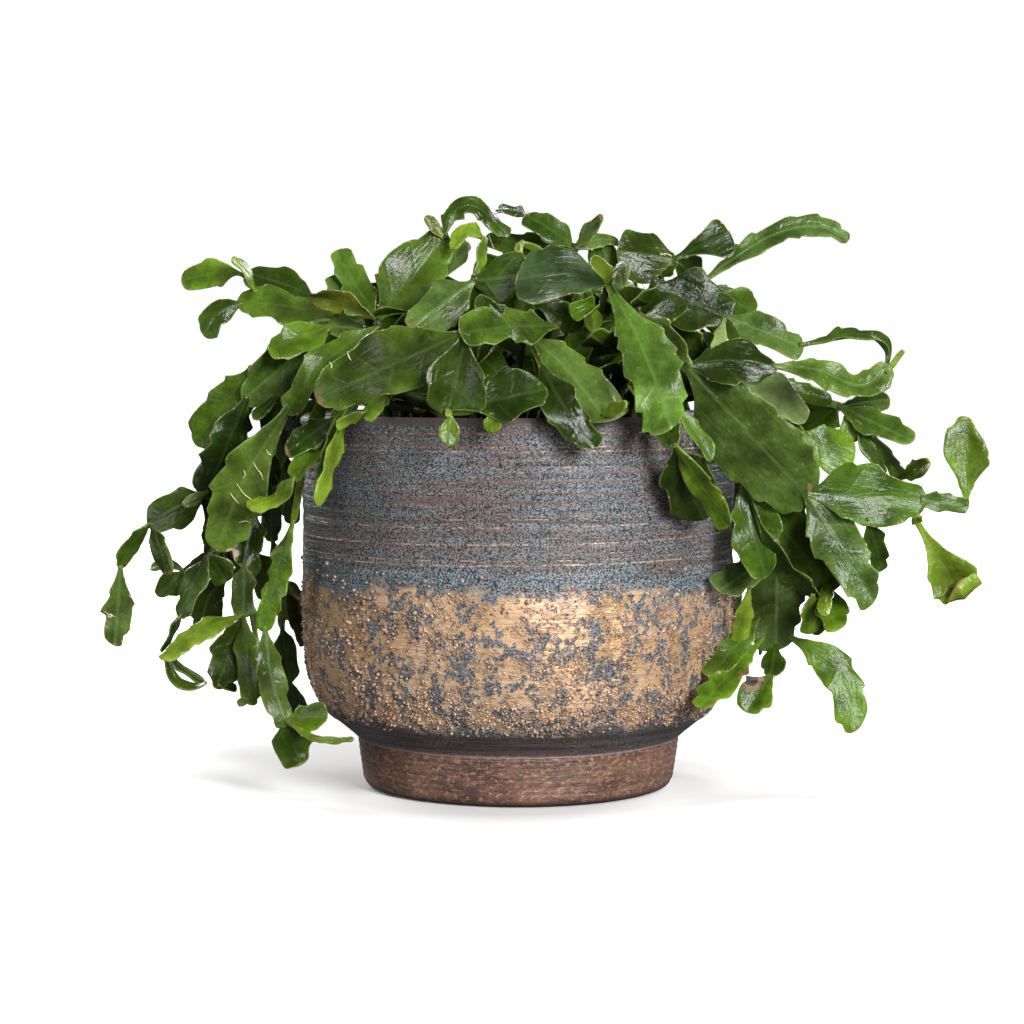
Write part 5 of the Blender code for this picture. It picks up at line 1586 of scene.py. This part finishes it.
def soil_finish(name, low, high, rough=0.95):
    g = Graph(name)
    colour = g.mix(g.spread(g.noise(420, 4, rough=0.7), 0.3, 0.7), low, high)
    colour = g.mix(g.math("MULTIPLY", g.spread(g.noise(90, 2), 0.5, 0.75), 0.5), colour, (0.06, 0.038, 0.022))
    height = g.math("ADD", g.noise(700, 4, rough=0.7), g.math("MULTIPLY", g.noise(160, 3), 2.0))
    return g.finish(colour, g.spread(g.noise(300, 2), 0.3, 0.7, rough - 0.15, rough), g.bump(height, 0.8, 0.0012),
                    Specular_IOR_Level=0.2)


def plastic_finish():
    g = Graph("grow_pot_plastic")
    rings = g.noise(12, 3, g.scaled((1.0, 1.0, 30.0)))
    colour = g.mix(g.spread(g.noise(60, 4), 0.35, 0.65), (0.014, 0.013, 0.013), (0.035, 0.033, 0.031))
    colour = g.mix(g.math("MULTIPLY", g.spread(g.noise(240, 4, rough=0.7), 0.52, 0.7), 0.5),
                   colour, (0.07, 0.055, 0.04))
    height = g.math("MULTIPLY_ADD", rings, 0.6, g.math("MULTIPLY", g.noise(900, 2), 0.4))
    return g.finish(colour, g.spread(g.noise(130, 3), 0.3, 0.7, 0.42, 0.62), g.bump(height, 0.4, 0.0004),
                    Specular_IOR_Level=0.45)


# Studio

EYE_PITCH = math.atan(162 / 2505)
FLOOR_GLOW = 0.0
LENS = 2505 * 36 / 1024


def area_light(name, place, target, size, power, mirrored=True):
    data = bpy.data.lights.new(name, "AREA")
    data.shape = "DISK"
    data.size = size
    data.energy = power
    made = bpy.data.objects.new(name, data)
    made.location = place
    made.visible_glossy = mirrored
    made.rotation_mode = "QUATERNION"
    made.rotation_quaternion = (Vector(target) - Vector(place)).to_track_quat("-Z", "Y")
    bpy.context.scene.collection.objects.link(made)


def make_studio():
    scene = bpy.context.scene
    scene.view_settings.view_transform = "Standard"
    scene.view_settings.look = "None"
    world = bpy.data.worlds.new("studio")
    scene.world = world
    world.use_nodes = True
    tree = world.node_tree
    background = tree.nodes["Background"]
    background.inputs["Color"].default_value = (1, 1, 1, 1)
    background.inputs["Strength"].default_value = 1.0
    ray = tree.nodes.new("ShaderNodeLightPath")
    level = tree.nodes.new("ShaderNodeMapRange")
    level.inputs["To Min"].default_value = 0.13
    level.inputs["To Max"].default_value = 1.05
    tree.links.new(ray.outputs["Is Camera Ray"], level.inputs["Value"])
    tree.links.new(level.outputs["Result"], background.inputs["Strength"])

    mesh = bpy.data.meshes.new("floor")
    reach = 6.0
    mesh.from_pydata([(-reach, -reach, 0), (reach, -reach, 0), (reach, reach, 0), (-reach, reach, 0)], [],
                     [(0, 1, 2, 3)])
    floor = bpy.data.objects.new("studio_floor", mesh)
    scene.collection.objects.link(floor)
    g = Graph("studio_paper")
    paper = g.mix(g.noise(3, 2), (0.90, 0.90, 0.90), (0.93, 0.93, 0.93))
    g.shader.inputs["Emission Color"].default_value = (1, 1, 1, 1)
    reach_out = g.add("VectorMath", {0: g.place}, operation="LENGTH").outputs["Value"]
    g.put(g.shader.inputs["Emission Strength"], g.spread(reach_out, 0.16, 0.6, FLOOR_GLOW, 1.0))
    mesh.materials.append(g.finish(paper, g.spread(g.noise(8, 2), 0.3, 0.7, 0.85, 0.95),
                                   Specular_IOR_Level=0.1))
    floor.visible_diffuse = False
    floor.visible_glossy = False

    area_light("key", (0.95, -1.65, 0.85), (0, 0, 0.12), 0.75, 54)
    area_light("fill", (-1.5, -1.2, 0.5), (0, 0, 0.12), 0.9, 9)
    area_light("top", (0.2, -0.2, 1.7), (0, 0, 0.1), 0.6, 14, mirrored=False)
    area_light("back_left", (-1.2, 1.5, 0.9), (0, 0, 0.12), 1.0, 40)
    area_light("back_right", (1.2, 1.4, 0.8), (0, 0, 0.12), 1.0, 26)
    area_light("bounce", (0.45, -1.3, 0.06), (0, 0, 0.06), 0.7, 7, mirrored=False)

    data = bpy.data.cameras.new("camera")
    data.lens = LENS
    data.sensor_width = 36
    data.clip_start = 0.05
    data.clip_end = 50
    camera = bpy.data.objects.new("camera", data)
    camera.location = tuple(float(value) * MM for value in EYE)
    camera.rotation_euler = (math.pi / 2 - EYE_PITCH, 0, 0)
    scene.collection.objects.link(camera)
    scene.camera = camera


def main():
    branches = front_branches() + hidden_branches()
    stems = settle_stems(branches)
    laid = settle_pads(branches, stems)
    glaze = glaze_finish("speckled_glaze")
    rows = make_planter_piece(glaze)
    make_grit(rows, glaze_finish("coppery_grit", bead=True))
    make_inner_piece(plastic_finish())
    edge = make_soil_piece(soil_finish("peat", (0.010, 0.007, 0.005), (0.045, 0.028, 0.018)))
    make_crumbs(edge, soil_finish("peat_crumbs", (0.012, 0.008, 0.006), (0.07, 0.045, 0.028)),
                soil_finish("pumice_grains", (0.35, 0.32, 0.28), (0.62, 0.60, 0.55), 0.85))
    shape = make_pads(branches, stems, laid, pad_finish())
    make_roots(shape, root_finish())
    make_studio()


main()
